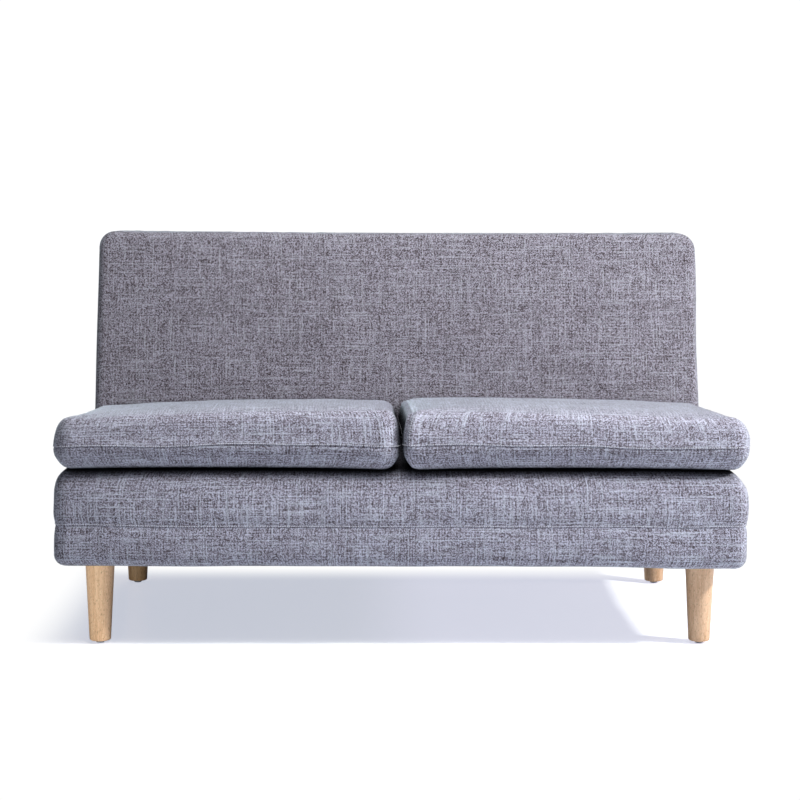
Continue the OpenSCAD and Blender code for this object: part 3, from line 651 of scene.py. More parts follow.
@dataclass(frozen=True)
class PaleWood:
    """Pale solid wood with its grain upright, satin lacquered.

    Attributes:
        name: Name of the material.
        early: Colour of its soft growth.
        late: Colour of its hard growth.
        pore: Colour of its short dark pores.
        ray: Colour of its short bright flecks.
        sway: How far the grain strays across, and how far along Y as a share of that.
        sway_size: Length of the straying, along X, Y and Z.
        growth_size: The same of the bands of growth.
        fibre_size: The same of the fibres.
        pore_size: The same of the pores.
        ray_size: The same of the flecks.
    """

    name: str = "pale_wood"
    early: Colour = (0.87, 0.59, 0.38)
    late: Colour = (0.66, 0.395, 0.225)
    pore: Colour = (0.36, 0.20, 0.10)
    ray: Colour = (0.92, 0.74, 0.50)
    sway: Span = (4 * MM, 0.6)
    sway_size: Point = (50 * MM, 50 * MM, 110 * MM)
    growth_size: Point = (7 * MM, 7 * MM, 120 * MM)
    fibre_size: Point = (1.1 * MM, 1.1 * MM, 30 * MM)
    pore_size: Point = (1.1 * MM, 1.1 * MM, 6 * MM)
    ray_size: Point = (1.6 * MM, 1.6 * MM, 3 * MM)

    def material(self) -> Material:
        """Builds the material.

        Returns:
            The finished material.
        """
        s = Shader(self.name)
        x, y, z = s.body_place()
        sway = (s.noise(s.over((x, y, z), self.sway_size), detail=1.0) - 0.5) * self.sway[0]
        place = (x + sway, y + sway * self.sway[1], z)
        growth = s.noise(s.over(place, self.growth_size), detail=1.0)
        fibre = s.noise(s.over(place, self.fibre_size), detail=4.0, rough=0.65)
        pores = s.noise(s.over(place, self.pore_size), detail=1.0).rise(0.60, 0.70)
        rays = s.noise(s.over(place, self.ray_size)).rise(0.66, 0.78)
        colour = s.mix((growth * 0.5 + fibre * 0.9 - 0.2).rise(0.3, 0.72), self.early, self.late)
        colour = s.mix(pores * 0.75, colour, self.pore)
        colour = s.mix(rays * 0.5, colour, self.ray)
        return s.surface(
            Base_Color=colour, Roughness=0.42 + fibre * 0.12, Coat_Weight=0.25, Coat_Roughness=0.3,
            Normal=s.bump(fibre - pores * 0.6, 0.2 * MM, 0.35))


@dataclass(frozen=True)
class Plywood:
    """Birch plywood of the frames, which cloth hides.

    Attributes:
        name: Name of the material.
        face: Its colour.
        grain: Colour of its grain.
        glue: Colour of every second ply.
        ply: Thickness of a ply.
        grain_size: Size of the grain along X, Y and Z.
    """

    name: str = "frame_plywood"
    face: Colour = (0.62, 0.47, 0.28)
    grain: Colour = (0.47, 0.33, 0.18)
    glue: Colour = (0.36, 0.24, 0.13)
    ply: float = 1.4 * MM
    grain_size: Point = (60 * MM, 2 * MM, 3 * MM)

    def material(self) -> Material:
        """Builds the material.

        Returns:
            The finished material.
        """
        s = Shader(self.name)
        place = s.body_place()
        plies = ((place[1] / self.ply).floor() * 0.5).fraction().rise(0.2, 0.4)
        grain = s.noise(s.over(place, self.grain_size), detail=3.0)
        colour = s.mix(grain.rise(0.3, 0.75), self.face, self.grain)
        colour = s.mix(plies * 0.25, colour, self.glue)
        return s.surface(Base_Color=colour, Roughness=0.75, Normal=s.bump(grain, 0.2 * MM, 0.4))


@dataclass(frozen=True)
class Worn:
    """A hard finish that wear has marked: plated steel or moulded plastic.

    Attributes:
        name: Name of the material.
        tint: Its colour.
        marked: Its colour where it is worn.
        size: Size of the marks along X, Y and Z.
        spread: Noise at which a mark starts, and where it is full.
        share: How much of their own colour the marks show.
        rough: Its roughness, and how much the noise adds.
        strength: How strongly the marks show in the surface.
        metallic: 1 for a metal.
    """

    name: str
    tint: Colour
    marked: Colour
    size: Point = (4 * MM, 4 * MM, 4 * MM)
    spread: Span = (0.35, 0.7)
    share: float = 0.4
    rough: Span = (0.24, 0.2)
    strength: float = 0.3
    metallic: float = 1.0

    def material(self) -> Material:
        """Builds the material.

        Returns:
            The finished material.
        """
        s = Shader(self.name)
        wear = s.noise(s.over(s.body_place(), self.size), detail=3.0)
        return s.surface(
            Base_Color=s.mix(wear.rise(*self.spread) * self.share, self.tint, self.marked),
            Metallic=self.metallic, Roughness=wear * self.rough[1] + self.rough[0],
            Normal=s.bump(wear, 0.05 * MM, self.strength))


@dataclass(frozen=True)
class Cambric:
    """Black spun-bonded cloth under the base, with its bonded diamond pattern.

    Attributes:
        name: Name of the material.
        dark: Colour between its fibres.
        light: Colour of its fibres.
        diamond: Width of a diamond.
        fibre: Size of its tangles of fibre.
    """

    name: str = "black_cambric"
    dark: Colour = (0.012, 0.012, 0.014)
    light: Colour = (0.038, 0.038, 0.044)
    diamond: float = 2.2 * MM
    fibre: float = 1.5 * MM

    def material(self) -> Material:
        """Builds the material.

        Returns:
            The finished material.
        """
        s = Shader(self.name)
        x, y = s.cloth_place()
        lines = ((x + y) / self.diamond).off_middle().at_most(((x - y) / self.diamond).off_middle())
        fibre = s.noise(s.join(x / self.fibre, y / self.fibre, 2.0), detail=3.0)
        height = lines.rise(0.02, 0.2) * 0.6 + fibre * 0.5
        return s.surface(
            Base_Color=s.mix(fibre.rise(0.3, 0.75), self.dark, self.light), Roughness=0.85,
            Normal=s.bump(height, 0.15 * MM, 0.6))


@dataclass(frozen=True)
class ZipTape:
    """The woven tape of the zips, ribbed along its length.

    Attributes:
        name: Name of the material.
        dark: Colour between its ribs.
        light: Colour of its ribs.
        ribs: Spacing of the ribs, up and along the tape.
    """

    name: str = "zip_tape"
    dark: Colour = (0.105, 0.10, 0.13)
    light: Colour = (0.20, 0.195, 0.24)
    ribs: Span = (0.9 * MM, 1.1 * MM)

    def material(self) -> Material:
        """Builds the material.

        Returns:
            The finished material.
        """
        s = Shader(self.name)
        x, _, z = s.body_place()
        rib = z.wave(self.ribs[0]) * x.wave(self.ribs[1]) * 0.5 + 0.5
        colour = s.mix(rib, self.dark, self.light)
        return s.surface(Base_Color=colour, Roughness=0.8, Normal=s.bump(rib, 0.12 * MM, 0.6))


@dataclass(frozen=True)
class Coil:
    """The nylon coil of the zips.

    Attributes:
        name: Name of the material.
        dark: Its darker colour.
        light: Its lighter colour.
        patch: Length over which it goes from one to the other.
    """

    name: str = "zip_coil"
    dark: Colour = (0.20, 0.20, 0.25)
    light: Colour = (0.29, 0.29, 0.34)
    patch: float = 2 * MM

    def material(self) -> Material:
        """Builds the material.

        Returns:
            The finished material.
        """
        s = Shader(self.name)
        x, _, _ = s.body_place()
        tint = s.noise(s.join(x / self.patch, 0.0, 0.0))
        colour = s.mix(tint.rise(0.3, 0.7), self.dark, self.light)
        return s.surface(Base_Color=colour, Roughness=0.38 + tint * 0.1)


@dataclass(frozen=True)
class StageFloor:
    """The white studio floor: a bright sweep that takes shadows round the sofa.

    Attributes:
        name: Name of the material.
        glow: Painted light: what the sweep glows with for camera rays at the left, where no lamp
            reaches it.
        brighter: The same at the right, a brighter painted glow.
        tint: Colour of the floor that the lamps fall on.
        bounce: Colour of the light that it throws back on the sofa.
        low: Least X and Y of the part that takes shadows.
        high: Greatest X and Y of that part.
        fade: Widths over which it goes to white at its sides, its front and its rear.
        brushed: Size of its faint streaks along X and Y.
        gloss: Share of what it mirrors.
        white: Brightness round the part that takes shadows.
    """

    name: str = "studio_floor"
    glow: Colour = (0.60, 0.63, 0.72)
    brighter: Colour = (0.68, 0.70, 0.82)
    tint: Colour = (0.97, 0.97, 0.93)
    bounce: Colour = (0.76, 0.79, 0.84)
    low: Span = (-0.56, -0.30)
    high: Span = (0.70, 0.30)
    fade: Point = (0.16, 0.40, 0.18)
    brushed: Span = (0.3, 0.006)
    gloss: float = 0.1
    white: float = 1.02

    def material(self) -> Material:
        """Builds the material.

        Returns:
            The finished material.
        """
        s = Shader(self.name)
        x, y, _ = s.body_place()
        aside = (self.low[0] - x).at_least(x - self.high[0]) / self.fade[0]
        ahead = ((self.low[1] - y) / self.fade[1]).at_least((y - self.high[1]) / self.fade[2])
        away = aside.at_least(ahead).rise(0.0, 1.0)
        streaks = s.noise(s.over((x, y), self.brushed), detail=3.0)
        # Painted light: for camera rays the floor glows, more brightly right of the middle, on top
        # of the lamp light that it takes.
        base = s.mix(x.rise(-0.12, 0.10), self.glow, self.brighter)
        lit = s.node("ShaderNodeBsdfDiffuse", None, {"Color": self.tint})
        strength = 1.01 - streaks * 0.03
        glow = s.node("ShaderNodeEmission", None, {"Color": base, "Strength": strength})
        mirror = s.node("ShaderNodeBsdfGlossy", None, {"Color": (1.0, 1.0, 1.0), "Roughness": 0.12})
        sweep = s.node("ShaderNodeAddShader", None, {0: lit, 1: glow})
        sweep = s.node("ShaderNodeMixShader", None, {0: self.gloss, 1: sweep, 2: mirror})
        white = s.node("ShaderNodeEmission", None, {"Color": (self.white,) * 3})
        seen = s.node("ShaderNodeMixShader", None, {0: away, 1: sweep, 2: white})
        thrown = s.node("ShaderNodeBsdfDiffuse", None, {"Color": self.bounce})
        watched = s.node("ShaderNodeLightPath", None, None, "Is Camera Ray")
        s.node_out(s.node("ShaderNodeMixShader", None, {0: watched, 1: thrown, 2: seen}))
        return s.material


# The back's cloth is the same linen made darker and warmer: the darkening is painted shade over the
# whole back.
SHADED_BACK_LINEN = Linen("linen_back_cloth", grain=1.6, rib=5.8 * MM, shade_tint=(0.65, 0.617, 0.60))
ZINC = Worn("zinc_plated_steel", (0.60, 0.62, 0.66), (0.42, 0.434, 0.462))
NICKEL = Worn("nickel_slider", (0.66, 0.64, 0.62), (0.462, 0.448, 0.434), rough=(0.14, 0.2))
GLIDE_PLASTIC = Worn(
    "glide_plastic", (0.50, 0.54, 0.66), (0.66, 0.69, 0.76), size=(0.8 * MM, 3 * MM, 0.5 * MM),
    spread=(0.55, 0.75), share=0.5, rough=(0.35, 0.25), strength=0.4, metallic=0.0)


@dataclass
class Finishes:
    """Every material of the scene, each made once."""

    cloth: Material = field(default_factory=Linen().material)
    shaded_back_cloth: Material = field(default_factory=SHADED_BACK_LINEN.material)
    thread: Material = field(default_factory=Thread().material)
    wood: Material = field(default_factory=PaleWood().material)
    plywood: Material = field(default_factory=Plywood().material)
    steel: Material = field(default_factory=ZINC.material)
    nickel: Material = field(default_factory=NICKEL.material)
    plastic: Material = field(default_factory=GLIDE_PLASTIC.material)
    cambric: Material = field(default_factory=Cambric().material)
    tape: Material = field(default_factory=ZipTape().material)
    coil: Material = field(default_factory=Coil().material)


# Sewn boxes of cloth


class Side(Enum):
    """The four sides of a sewn box, counter-clockwise as seen from above."""

    FRONT = 0
    RIGHT = 1
    REAR = 2
    LEFT = 3

    @property
    def along(self) -> Array:
        """The direction in which the side runs."""
        return np.array([(1, 0), (0, 1), (-1, 0), (0, -1)][self.value], float)

    @property
    def out(self) -> Array:
        """The direction that the side faces."""
        return np.array([(0, -1), (1, 0), (0, 1), (-1, 0)][self.value], float)


Place = Callable[[Array, Array, Array], Array]
Relief = Callable[["Spot"], Array]
Rise = Callable[[Array, Array], Array]


@dataclass(frozen=True)
class Spot:
    """Where the points of a side lie, for the seams and gathers that move them.

    Attributes:
        side: The side that they are on.
        x: Place across the flat box.
        y: Place along the flat box.
        seam: Distance from the seam, along the cloth.
        corner: Distance from the nearer end of the side.
        height: Height over the box's zero.
    """

    side: Side
    x: Array
    y: Array
    seam: Array
    corner: Array
    height: Array


def level(a: Array, b: Array) -> Array:
    """The rise of a face that stays flat."""
    return 0 * a * b


def plain(spot: Spot) -> Array:
    """The relief of a side without seams or gathers."""
    return 0.0 * spot.x


@dataclass
class SewnBox:
    """A box of cloth: a face, and four sides that turn down from its rim to a seam.

    Attributes:
        size: Width and depth at the seam, before any inset.
        radii: Radius of each corner, from front left counter-clockwise.
        profile: Rows of inset and height, from the seam to the rim.
        place: Takes flat places and heights to the row frame.
        relief: Extra inset of the sides at a spot.
        rise: Extra height of the face, from places between -1 and 1.
        step: Widest spacing of the mesh.
        fine: Spacing of the mesh at the seam and the corners.
        down: Whether the face looks down.
        shift: Place of its cloth in the weave, so that no two panels are alike.
        tightest: Share of a corner's radius that is left where the box has shrunk most.
    """

    size: Span
    radii: tuple[float, float, float, float]
    profile: Array
    place: Place
    relief: Relief = plain
    rise: Rise = level
    step: float = 7 * MM
    fine: float = 1.3 * MM
    down: bool = False
    shift: Span = (0.0, 0.0)
    tightest: float = 0.35

    def __post_init__(self) -> None:
        """Measures the profile and picks the rows and columns of the mesh."""
        lengths = np.hypot(*np.diff(self.profile, axis=0).T)
        self.run = np.concatenate([[0], np.cumsum(lengths)])
        self.rows = graded(self.run[-1], self.step, self.fine) * self.run[-1]
        self.columns = [
            2 * graded(length, self.step, self.fine, both=True) - 1 for length in self.size * 2]

    def flat_side(self, side: Side, t: Array, inset: Array) -> tuple[Array, Array]:
        """Places on one side of a rounded rectangle.

        Args:
            side: The side.
            t: Place along it, from -1 to 1, where both ends lie in the middle of a corner.
            inset: How far the rectangle has shrunk.

        Returns:
            The two coordinates of each place.
        """
        length, depth = (s / 2 for s in (self.size[::-1] if side.value % 2 else self.size))
        first, last = (
            np.maximum(radius - inset, self.tightest * radius)
            for radius in (self.radii[side.value], self.radii[(side.value + 1) % 4]))
        half, far = length - inset, depth - inset
        arc0, arc1 = first * math.pi / 4, last * math.pi / 4
        straight = 2 * half - first - last
        q = (t + 1) / 2 * (arc0 + straight + arc1)
        turn0 = np.clip(1 - q / arc0, 0, 1) * math.pi / 4
        turn1 = np.clip((q - arc0 - straight) / arc1, 0, 1) * math.pi / 4
        u = -(half - first) - first * np.sin(turn0) + np.clip(q - arc0, 0, straight)
        u = np.where(q > arc0 + straight, half - last + last * np.sin(turn1), u)
        v = far - first * (1 - np.cos(turn0)) - last * (1 - np.cos(turn1))
        return side.along[0] * u + side.out[0] * v, side.along[1] * u + side.out[1] * v

    def side_points(self, side: Side, t: Array, run: Array) -> Array:
        """Places in the row frame on one side.

        Args:
            side: The side.
            t: Place along it, from -1 to 1.
            run: Length along the profile from the seam.

        Returns:
            Places, as rows of three.
        """
        inset, height = (np.interp(run, self.run, column) for column in self.profile.T)
        length = self.size[side.value % 2]
        x, y = self.flat_side(side, t, inset)
        nominal_x, nominal_y = self.flat_side(side, t, 0 * inset)
        spot = Spot(side, nominal_x, nominal_y, run + 0 * t, (1 - np.abs(t)) * length / 2, height)
        extra = self.relief(spot)
        x, y = self.flat_side(side, t, inset + extra)
        return self.place(x, y, height)

    def rim(self, side: Side, t: Array) -> tuple[Array, Array]:
        """Flat places along the rim of the face."""
        return self.flat_side(side, t, self.profile[-1, 0] + 0 * t)

    def add_to(self, skin: Skin) -> None:
        """Puts the sides and the face into a skin.

        Args:
            skin: The skin that takes them.
        """
        top = self.profile[-1, 1]
        for side in Side:
            t, run = np.meshgrid(self.columns[side.value], self.rows)
            points = self.side_points(side, t, run)
            rim_x, rim_y = self.rim(side, t)
            drop = self.run[-1] - run
            cloth = np.stack([rim_x + side.out[0] * drop, rim_y + side.out[1] * drop], -1)
            skin.grid(points, cloth + self.shift, flip=self.down)
        x, y = self.face_grid()
        half_x, half_y = (s / 2 - self.profile[-1, 0] for s in self.size)
        height = top + self.rise(x / half_x, y / half_y)
        skin.grid(self.place(x, y, height), np.stack([x, y], -1) + self.shift, flip=self.down)

    def face_grid(self) -> tuple[Array, Array]:
        """Lays the face between its four edges.

        Returns:
            The two flat coordinates of its grid.
        """
        front, rear = self.rim(Side.FRONT, self.columns[0]), self.rim(Side.REAR, self.columns[2])
        right, left = self.rim(Side.RIGHT, self.columns[1]), self.rim(Side.LEFT, self.columns[3])
        a = ((self.columns[0] + 1) / 2)[None, :]
        b = ((self.columns[1] + 1) / 2)[:, None]
        result = []
        for k in (0, 1):
            f, r = front[k][None, :], rear[k][::-1][None, :]
            w, e = left[k][::-1][:, None], right[k][:, None]
            c00, c10, c01, c11 = f[0, 0], f[0, -1], r[0, 0], r[0, -1]
            result.append(
                (1 - b) * f + b * r + (1 - a) * w + a * e
                - ((1 - a) * (1 - b) * c00 + a * (1 - b) * c10 + (1 - a) * b * c01 + a * b * c11))
        return result[0], result[1]

    def seam_line(self, side: Side, above: float, pitch: float) -> Array:
        """Places at an even pitch along a side, at a height over its seam.

        Args:
            side: The side.
            above: Length along the profile from the seam.
            pitch: Spacing of the places.

        Returns:
            Places, as rows of three.
        """
        count = max(int(self.size[side.value % 2] / pitch), 2)
        t = np.linspace(-1, 1, count + 1)
        return self.side_points(side, t, above + 0 * t)


@dataclass(frozen=True)
class Stitching:
    """Rows of single stitches, each a short six-sided thread that dives into the cloth at its ends.

    Attributes:
        pitch: From one stitch to the next.
        gap: Bare cloth between two stitches.
        thick: Thickness of the thread.
        probe: How far off the places lie that tell which way the cloth faces.
        shares: Places along a stitch.
        widths: Its thickness there, as shares.
        lifts: How far its middle stands out of the cloth there, in halves of its thickness.
    """

    pitch: float = 4.0 * MM
    gap: float = 1.5 * MM
    thick: float = 1.35 * MM
    probe: float = 2 * MM
    shares: tuple[float, ...] = (0.0, 0.16, 0.5, 0.84, 1.0)
    widths: tuple[float, ...] = (0.25, 0.85, 1.0, 0.85, 0.25)
    lifts: tuple[float, ...] = (-0.6, 0.25, 0.55, 0.25, -0.6)

    def stitch_line(self, skin: Skin, line: Array, out: Array) -> None:
        """Lays one stitch between each place of a line and the next.

        Args:
            skin: The skin that takes them.
            line: Places at the stitches' pitch.
            out: Direction that the cloth faces at each place.
        """
        way = line[1:] - line[:-1]
        length = np.linalg.norm(way, axis=1, keepdims=True)
        way, up = unit(way), unit((out[:-1] + out[1:]) / 2)
        aside = np.cross(way, up)
        radius = self.thick / 2
        angle = np.linspace(0, math.tau, 6, endpoint=False)[None, :, None]
        section = np.cos(angle) * aside[:, None] + np.sin(angle) * up[:, None]
        start, reach = line[:-1] + way * (self.gap / 2), length - self.gap
        rings = []
        for share, width, lift in zip(self.shares, self.widths, self.lifts):
            centre = start + way * reach * share + up * (lift * radius)
            rings.append(centre[:, None] + width * radius * section)
        points = np.stack(rings, 1)
        index = np.arange(points[..., 0].size).reshape(points.shape[:3])
        after = np.roll(index, -1, axis=2)
        walls = np.stack([index[:, 1:], after[:, 1:], after[:, :-1], index[:, :-1]], -1)
        caps = [index[:, 0, [3, 2, 1, 0]], index[:, 0, [5, 4, 3, 0]],
                index[:, -1, [0, 1, 2, 3]], index[:, -1, [0, 3, 4, 5]]]
        skin.quads(points.reshape(-1, 3), np.concatenate([walls.reshape(-1, 4), *caps]))

    def on_side(self, skin: Skin, box: SewnBox, side: Side, above: float) -> None:
        """Sews along one side of a box.

        Args:
            skin: The skin that takes the stitches.
            box: The sewn box.
            side: The side.
            above: Height of the row over the seam.
        """
        line = box.seam_line(side, above, self.pitch)
        higher = box.seam_line(side, above + self.probe, self.pitch)
        self.stitch_line(skin, line, unit(np.cross(np.gradient(line, axis=0), higher - line)))

    def on_corner(
        self, skin: Skin, box: SewnBox, side: Side, low: float, high: float, aside: float
    ) -> None:
        """Sews up a side near the corner at its start.

        Args:
            skin: The skin that takes the stitches.
            box: The sewn box.
            side: The side whose start is the corner.
            low: Length along the profile where the row starts.
            high: Length along the profile where it ends.
            aside: How far from the corner's middle the row lies.
        """
        run = np.arange(low, high, self.pitch)
        length = box.size[side.value % 2]
        t = -1 + 2 * aside / length + 0 * run
        line = box.side_points(side, t, run)
        beside = box.side_points(side, t + 2 * self.probe / length, run)
        self.stitch_line(skin, line, unit(np.cross(beside - line, np.gradient(line, axis=0))))


@dataclass(frozen=True)
class Swell:
    """Cloth simulation of a filled cover: the filling presses the cloth out.

    Attributes:
        pressure: Pressure inside.
        cap: The furthest that a point may move.
        frames: Length of the simulation.
        slack: Extra cloth over the flat size.
        near: How many coarse points move each fine one.
    """

    pressure: float = 3.0
    cap: float = 2.5 * MM
    frames: int = 18
    slack: float = 0.006
    near: int = 5

    def moves(self, coarse: Model, held: Callable[[Array], Array]) -> tuple[Array, Array]:
        """Runs the simulation on a coarse copy, which is then removed.

        Args:
            coarse: A closed, coarse mesh of the cover.
            held: How firmly each place is held, from 0 to 1.

        Returns:
            Where the points started, and how each one moved.
        """
        rest = coordinates(coarse)
        group = coarse.vertex_groups.new(name="held")
        for index, weight in enumerate(held(rest)):
            if weight > 0:
                group.add([index], float(weight), "REPLACE")
        cloth = coarse.modifiers.new("Cloth", "CLOTH")
        s = cloth.settings
        s.quality, s.mass = 6, 0.3
        s.tension_stiffness = s.compression_stiffness = 40
        s.shear_stiffness, s.bending_stiffness = 12, 1.5
        s.tension_damping = s.compression_damping = s.shear_damping = 8
        s.air_damping = 3
        s.use_pressure, s.uniform_pressure_force = True, self.pressure
        s.shrink_min = -self.slack
        s.effector_weights.gravity = 0
        s.vertex_group_mass = "held"
        cloth.collision_settings.use_collision = False
        cloth.point_cache.frame_end = self.frames
        scene = bpy.context.scene
        for number in range(1, self.frames + 1):
            scene.frame_set(number)
        ready = coarse.evaluated_get(bpy.context.evaluated_depsgraph_get())
        moved = coordinates(ready) - rest
        bpy.data.objects.remove(coarse)
        scene.frame_set(1)
        reach = np.linalg.norm(moved, axis=1, keepdims=True)
        moved *= self.cap * np.tanh(reach / self.cap) / np.maximum(reach, 1e-9)
        return rest, moved

    def carry(self, rest: Array, moved: Array, places: Array) -> Array:
        """The moves of the coarse mesh, spread to other places nearby.

        Args:
            rest: Where the coarse points started.
            moved: How they moved.
            places: Places to move.

        Returns:
            One move for each place.
        """
        tree = kdtree.KDTree(len(rest))
        for index, point in enumerate(rest):
            tree.insert(point, index)
        tree.balance()
        out = np.zeros_like(places)
        for row, place in enumerate(places):
            found = tree.find_n(place, self.near)
            weights = np.array([1 / (distance ** 2 + 1e-7) for _, _, distance in found])
            out[row] = weights @ moved[[index for _, index, _ in found]] / weights.sum()
        return out


@dataclass(frozen=True)
class Fold:
    """The fold of the cloth at a seam: the upper panel laps over, the lower one is tucked in.

    Attributes:
        seam: Height of the seam.
        depth: Depth of the tuck.
        lip: How far the upper panel stands out over the seam, as a share of the depth.
        lip_reach: Where that lip is highest, and where it ends.
        lap: Height over which the upper panel comes out of the seam.
        tuck: Height over which the lower panel comes out of it.
    """

    seam: float
    depth: float
    lip: float = 0.35
    lip_reach: Span = (2 * MM, 9 * MM)
    lap: float = 1.2 * MM
    tuck: float = 4.5 * MM

    def at(self, spot: Spot) -> Array:
        """The inset of the points at a spot.

        Args:
            spot: Where the points lie.

        Returns:
            The inset of each point.
        """
        top, end = self.lip_reach
        lip = self.lip * self.depth * smooth(spot.seam, 0, top) * (1 - smooth(spot.seam, top, end))
        upper = self.depth * (1 - smooth(spot.seam, 0, self.lap)) - lip
        lower = self.depth * (1 - smooth(spot.seam, 0, self.tuck))
        return np.where(spot.height > self.seam - 0.1 * MM, upper, lower)


def open_to(height: Array, top: float, reach: float) -> Array:
    """Goes from 1 below to 0 at the top, over a reach."""
    return 1 - smooth(height, top - reach, top)


@dataclass(frozen=True)
class Unevenness:
    """The small gathers of a cover at its seam, and the softness of what it is filled with.

    Attributes:
        gathers: The gathers.
        gather_reach: Distances from the seam at which they rise and fall away.
        soft: The softness.
        soft_reach: Distances from the seam at which it rises.
        share: How much of the softness shows, outwards.
    """

    gathers: Ripple
    gather_reach: tuple[Span, Span]
    soft: Ripple
    soft_reach: Span
    share: float = 1.0

    def at(self, spot: Spot, top: float, calm: float) -> Array:
        """The inset of the points at a spot.

        Args:
            spot: Where they lie.
            top: Height at which the softness has died out.
            calm: Height below that over which it does.

        Returns:
            The inset of each point.
        """
        near = self.gathers.at(spot.x, spot.y) * hump(spot.seam, *self.gather_reach)
        wide = smooth(spot.seam, *self.soft_reach) * open_to(spot.height, top, calm)
        return near - self.soft.at(spot.x, spot.y, spot.height) * wide * self.share


# Sub-assemblies


class Hand(Enum):
    """The two halves of the seat, as seen from the front."""

    LEFT = "left"
    RIGHT = "right"

    @property
    def out(self) -> int:
        """The direction along X that its outer side faces."""
        return -1 if self is Hand.LEFT else 1


@dataclass
class Piece:
    """What the sub-assemblies share: their body and the finishes."""

    finishes: Finishes
    body: str = "sofa"

    def own(self, piece: Model, slot: str, *nodes: str) -> Model:
        """Hands a piece to its body and hides the CAD nodes that it stands for.

        Args:
            piece: The piece.
            slot: Not used.
            *nodes: CAD nodes that it stands for.

        Returns:
            The piece.
        """
        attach(piece, self.body)
        if nodes:
            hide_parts(*nodes)
        LOG.info("%s: %d faces on %s", piece.name, len(piece.data.polygons), self.body)
        return piece


@dataclass
class Base(Piece):
    """The padded base: its deck cover, the lower band, their seam and the cloth below.

    Places across and ahead are shares that go from -1 to 1, where 1 is the right end and the front.

    Attributes:
        corner: Radius of its corners, seen from above.
        shoulder: Depth and height of the rounded shoulder.
        low_edge: Radius of its lower edge.
        pinch: How deep the seam draws the cover in.
        pinch_reach: Height over which it draws.
        groove: Depth of the fold at the seam itself.
        bulge: How far each panel bows out between its seam and its edge.
        bulge_height: Height of the bow.
        band_inset: How far the band lies back from the widest line.
        hem: Width of the hem under the frame.
        frame_inset: From the widest line to the frame.
        hem_sag: How far the hem hangs down at its left and right ends.
        sag_left: Where across it starts to hang and hangs lowest, from the middle to the left.
        sag_right: The same to the right.
        rake: How far the front leans back between its seam and the deck.
        tuck: How far the front turns back between its seam and its hem.
        slope: How far the right end leans in at the deck.
        slope_from: Where across it starts to lean in.
        shoulder_zone: Height below the deck over which it leans in.
        turn: How far the left end of the front turns back.
        turn_from: Where across it starts to turn back.
        front_from: Where ahead the front begins to lean and turn.
        rim: Where the calm deck ends and the soft edge begins, as shares.
        calm: Height below the deck over which its unevenness dies out.
        uneven: The gathers at its seam and the softness of its sides.
        sag: How its seam and its hem wander.
    """

    corner: float = 26 * MM
    shoulder: Span = (31 * MM, 43 * MM)
    low_edge: float = 20 * MM
    pinch: float = 3 * MM
    pinch_reach: float = 26 * MM
    groove: float = 0.6 * MM
    bulge: float = 1.2 * MM
    bulge_height: float = 70 * MM
    band_inset: float = 1.5 * MM
    hem: float = 20 * MM
    frame_inset: float = 25.8 * MM
    hem_sag: Span = (1.5 * MM, 4.5 * MM)
    sag_left: Span = (0.62, 0.92)
    sag_right: Span = (0.35, 0.9)
    rake: float = 9 * MM
    tuck: float = 3 * MM
    slope: float = 10 * MM
    slope_from: float = 0.85
    shoulder_zone: float = 50 * MM
    turn: float = 7 * MM
    turn_from: float = 0.7
    front_from: float = 0.4
    rim: Span = (0.9, 0.97)
    calm: float = 20 * MM
    uneven: Unevenness = Unevenness(
        Ripple(17 * MM, 0.42 * MM, 11), ((0.5 * MM, 4 * MM), (6 * MM, 30 * MM)),
        Ripple(120 * MM, 0.75 * MM, 13), (8 * MM, 40 * MM))
    sag: Ripple = Ripple(300 * MM, 0.8 * MM, 12)

    def __post_init__(self) -> None:
        """Reads the places that the CAD gives."""
        top = Room.of("base_cover_top")
        self.middle_y = top.middle.y
        self.seam_z, self.deck_z = top.low.z, top.high.z
        self.hem_z = Room.of("base_cover_band").low.z
        self.size = (top.size.x, top.size.y)

    def _place(self, x: Array, y: Array, z: Array) -> Array:
        """Puts flat places in the row frame, with a slightly wandering seam and hem.

        Args:
            x: Places across the flat box.
            y: Places along it.
            z: Their heights.

        Returns:
            Places, as rows of three.
        """
        across, ahead = 2 * x / self.size[0], -2 * y / self.size[1]
        below = 1 - smooth(z, self.deck_z - self.shoulder_zone, self.deck_z - 10 * MM)
        edge = smooth(np.maximum(np.abs(across), np.abs(ahead)), *self.rim)
        low = 1 - smooth(z, self.hem_z, self.seam_z)
        ends = self.hem_sag[0] * smooth(-across, *self.sag_left)
        ends = ends + self.hem_sag[1] * smooth(across, *self.sag_right)
        over = np.clip((z - self.seam_z) / (self.deck_z - self.seam_z), 0, 1)
        under = np.clip((self.seam_z - z) / (self.seam_z - self.hem_z), 0, 1)
        back = self.rake * over ** 1.3 + self.tuck * under ** 2
        back = back + self.turn * smooth(-across, self.turn_from, 1) ** 2
        y = y + back * smooth(ahead, self.front_from, 1)
        lean = smooth(z, self.deck_z - self.shoulder_zone, self.deck_z) ** 1.5
        x = x - self.slope * smooth(across, self.slope_from, 1) * lean
        z = z + (self.sag.at(x, y) - ends * low) * below * edge
        return np.stack([x, y + self.middle_y, z], -1)

    def _gathers(self, spot: Spot) -> Array:
        """The fold and the small gathers of the cloth at the seam.

        Args:
            spot: Where the points lie.

        Returns:
            The inset of each point.
        """
        bow = self.bulge * np.sin(math.pi * np.clip(spot.seam / self.bulge_height, 0, 1))
        bow = bow * open_to(spot.height, self.deck_z, self.calm)
        fold = Fold(self.seam_z, self.groove).at(spot)
        return fold + self.uneven.at(spot, self.deck_z, self.calm) - bow

    def _box(self, profile: Array, **more: bool | Span) -> SewnBox:
        """A sewn box of the base's width and depth."""
        return SewnBox(self.size, (self.corner,) * 4, profile, self._place, self._gathers, **more)

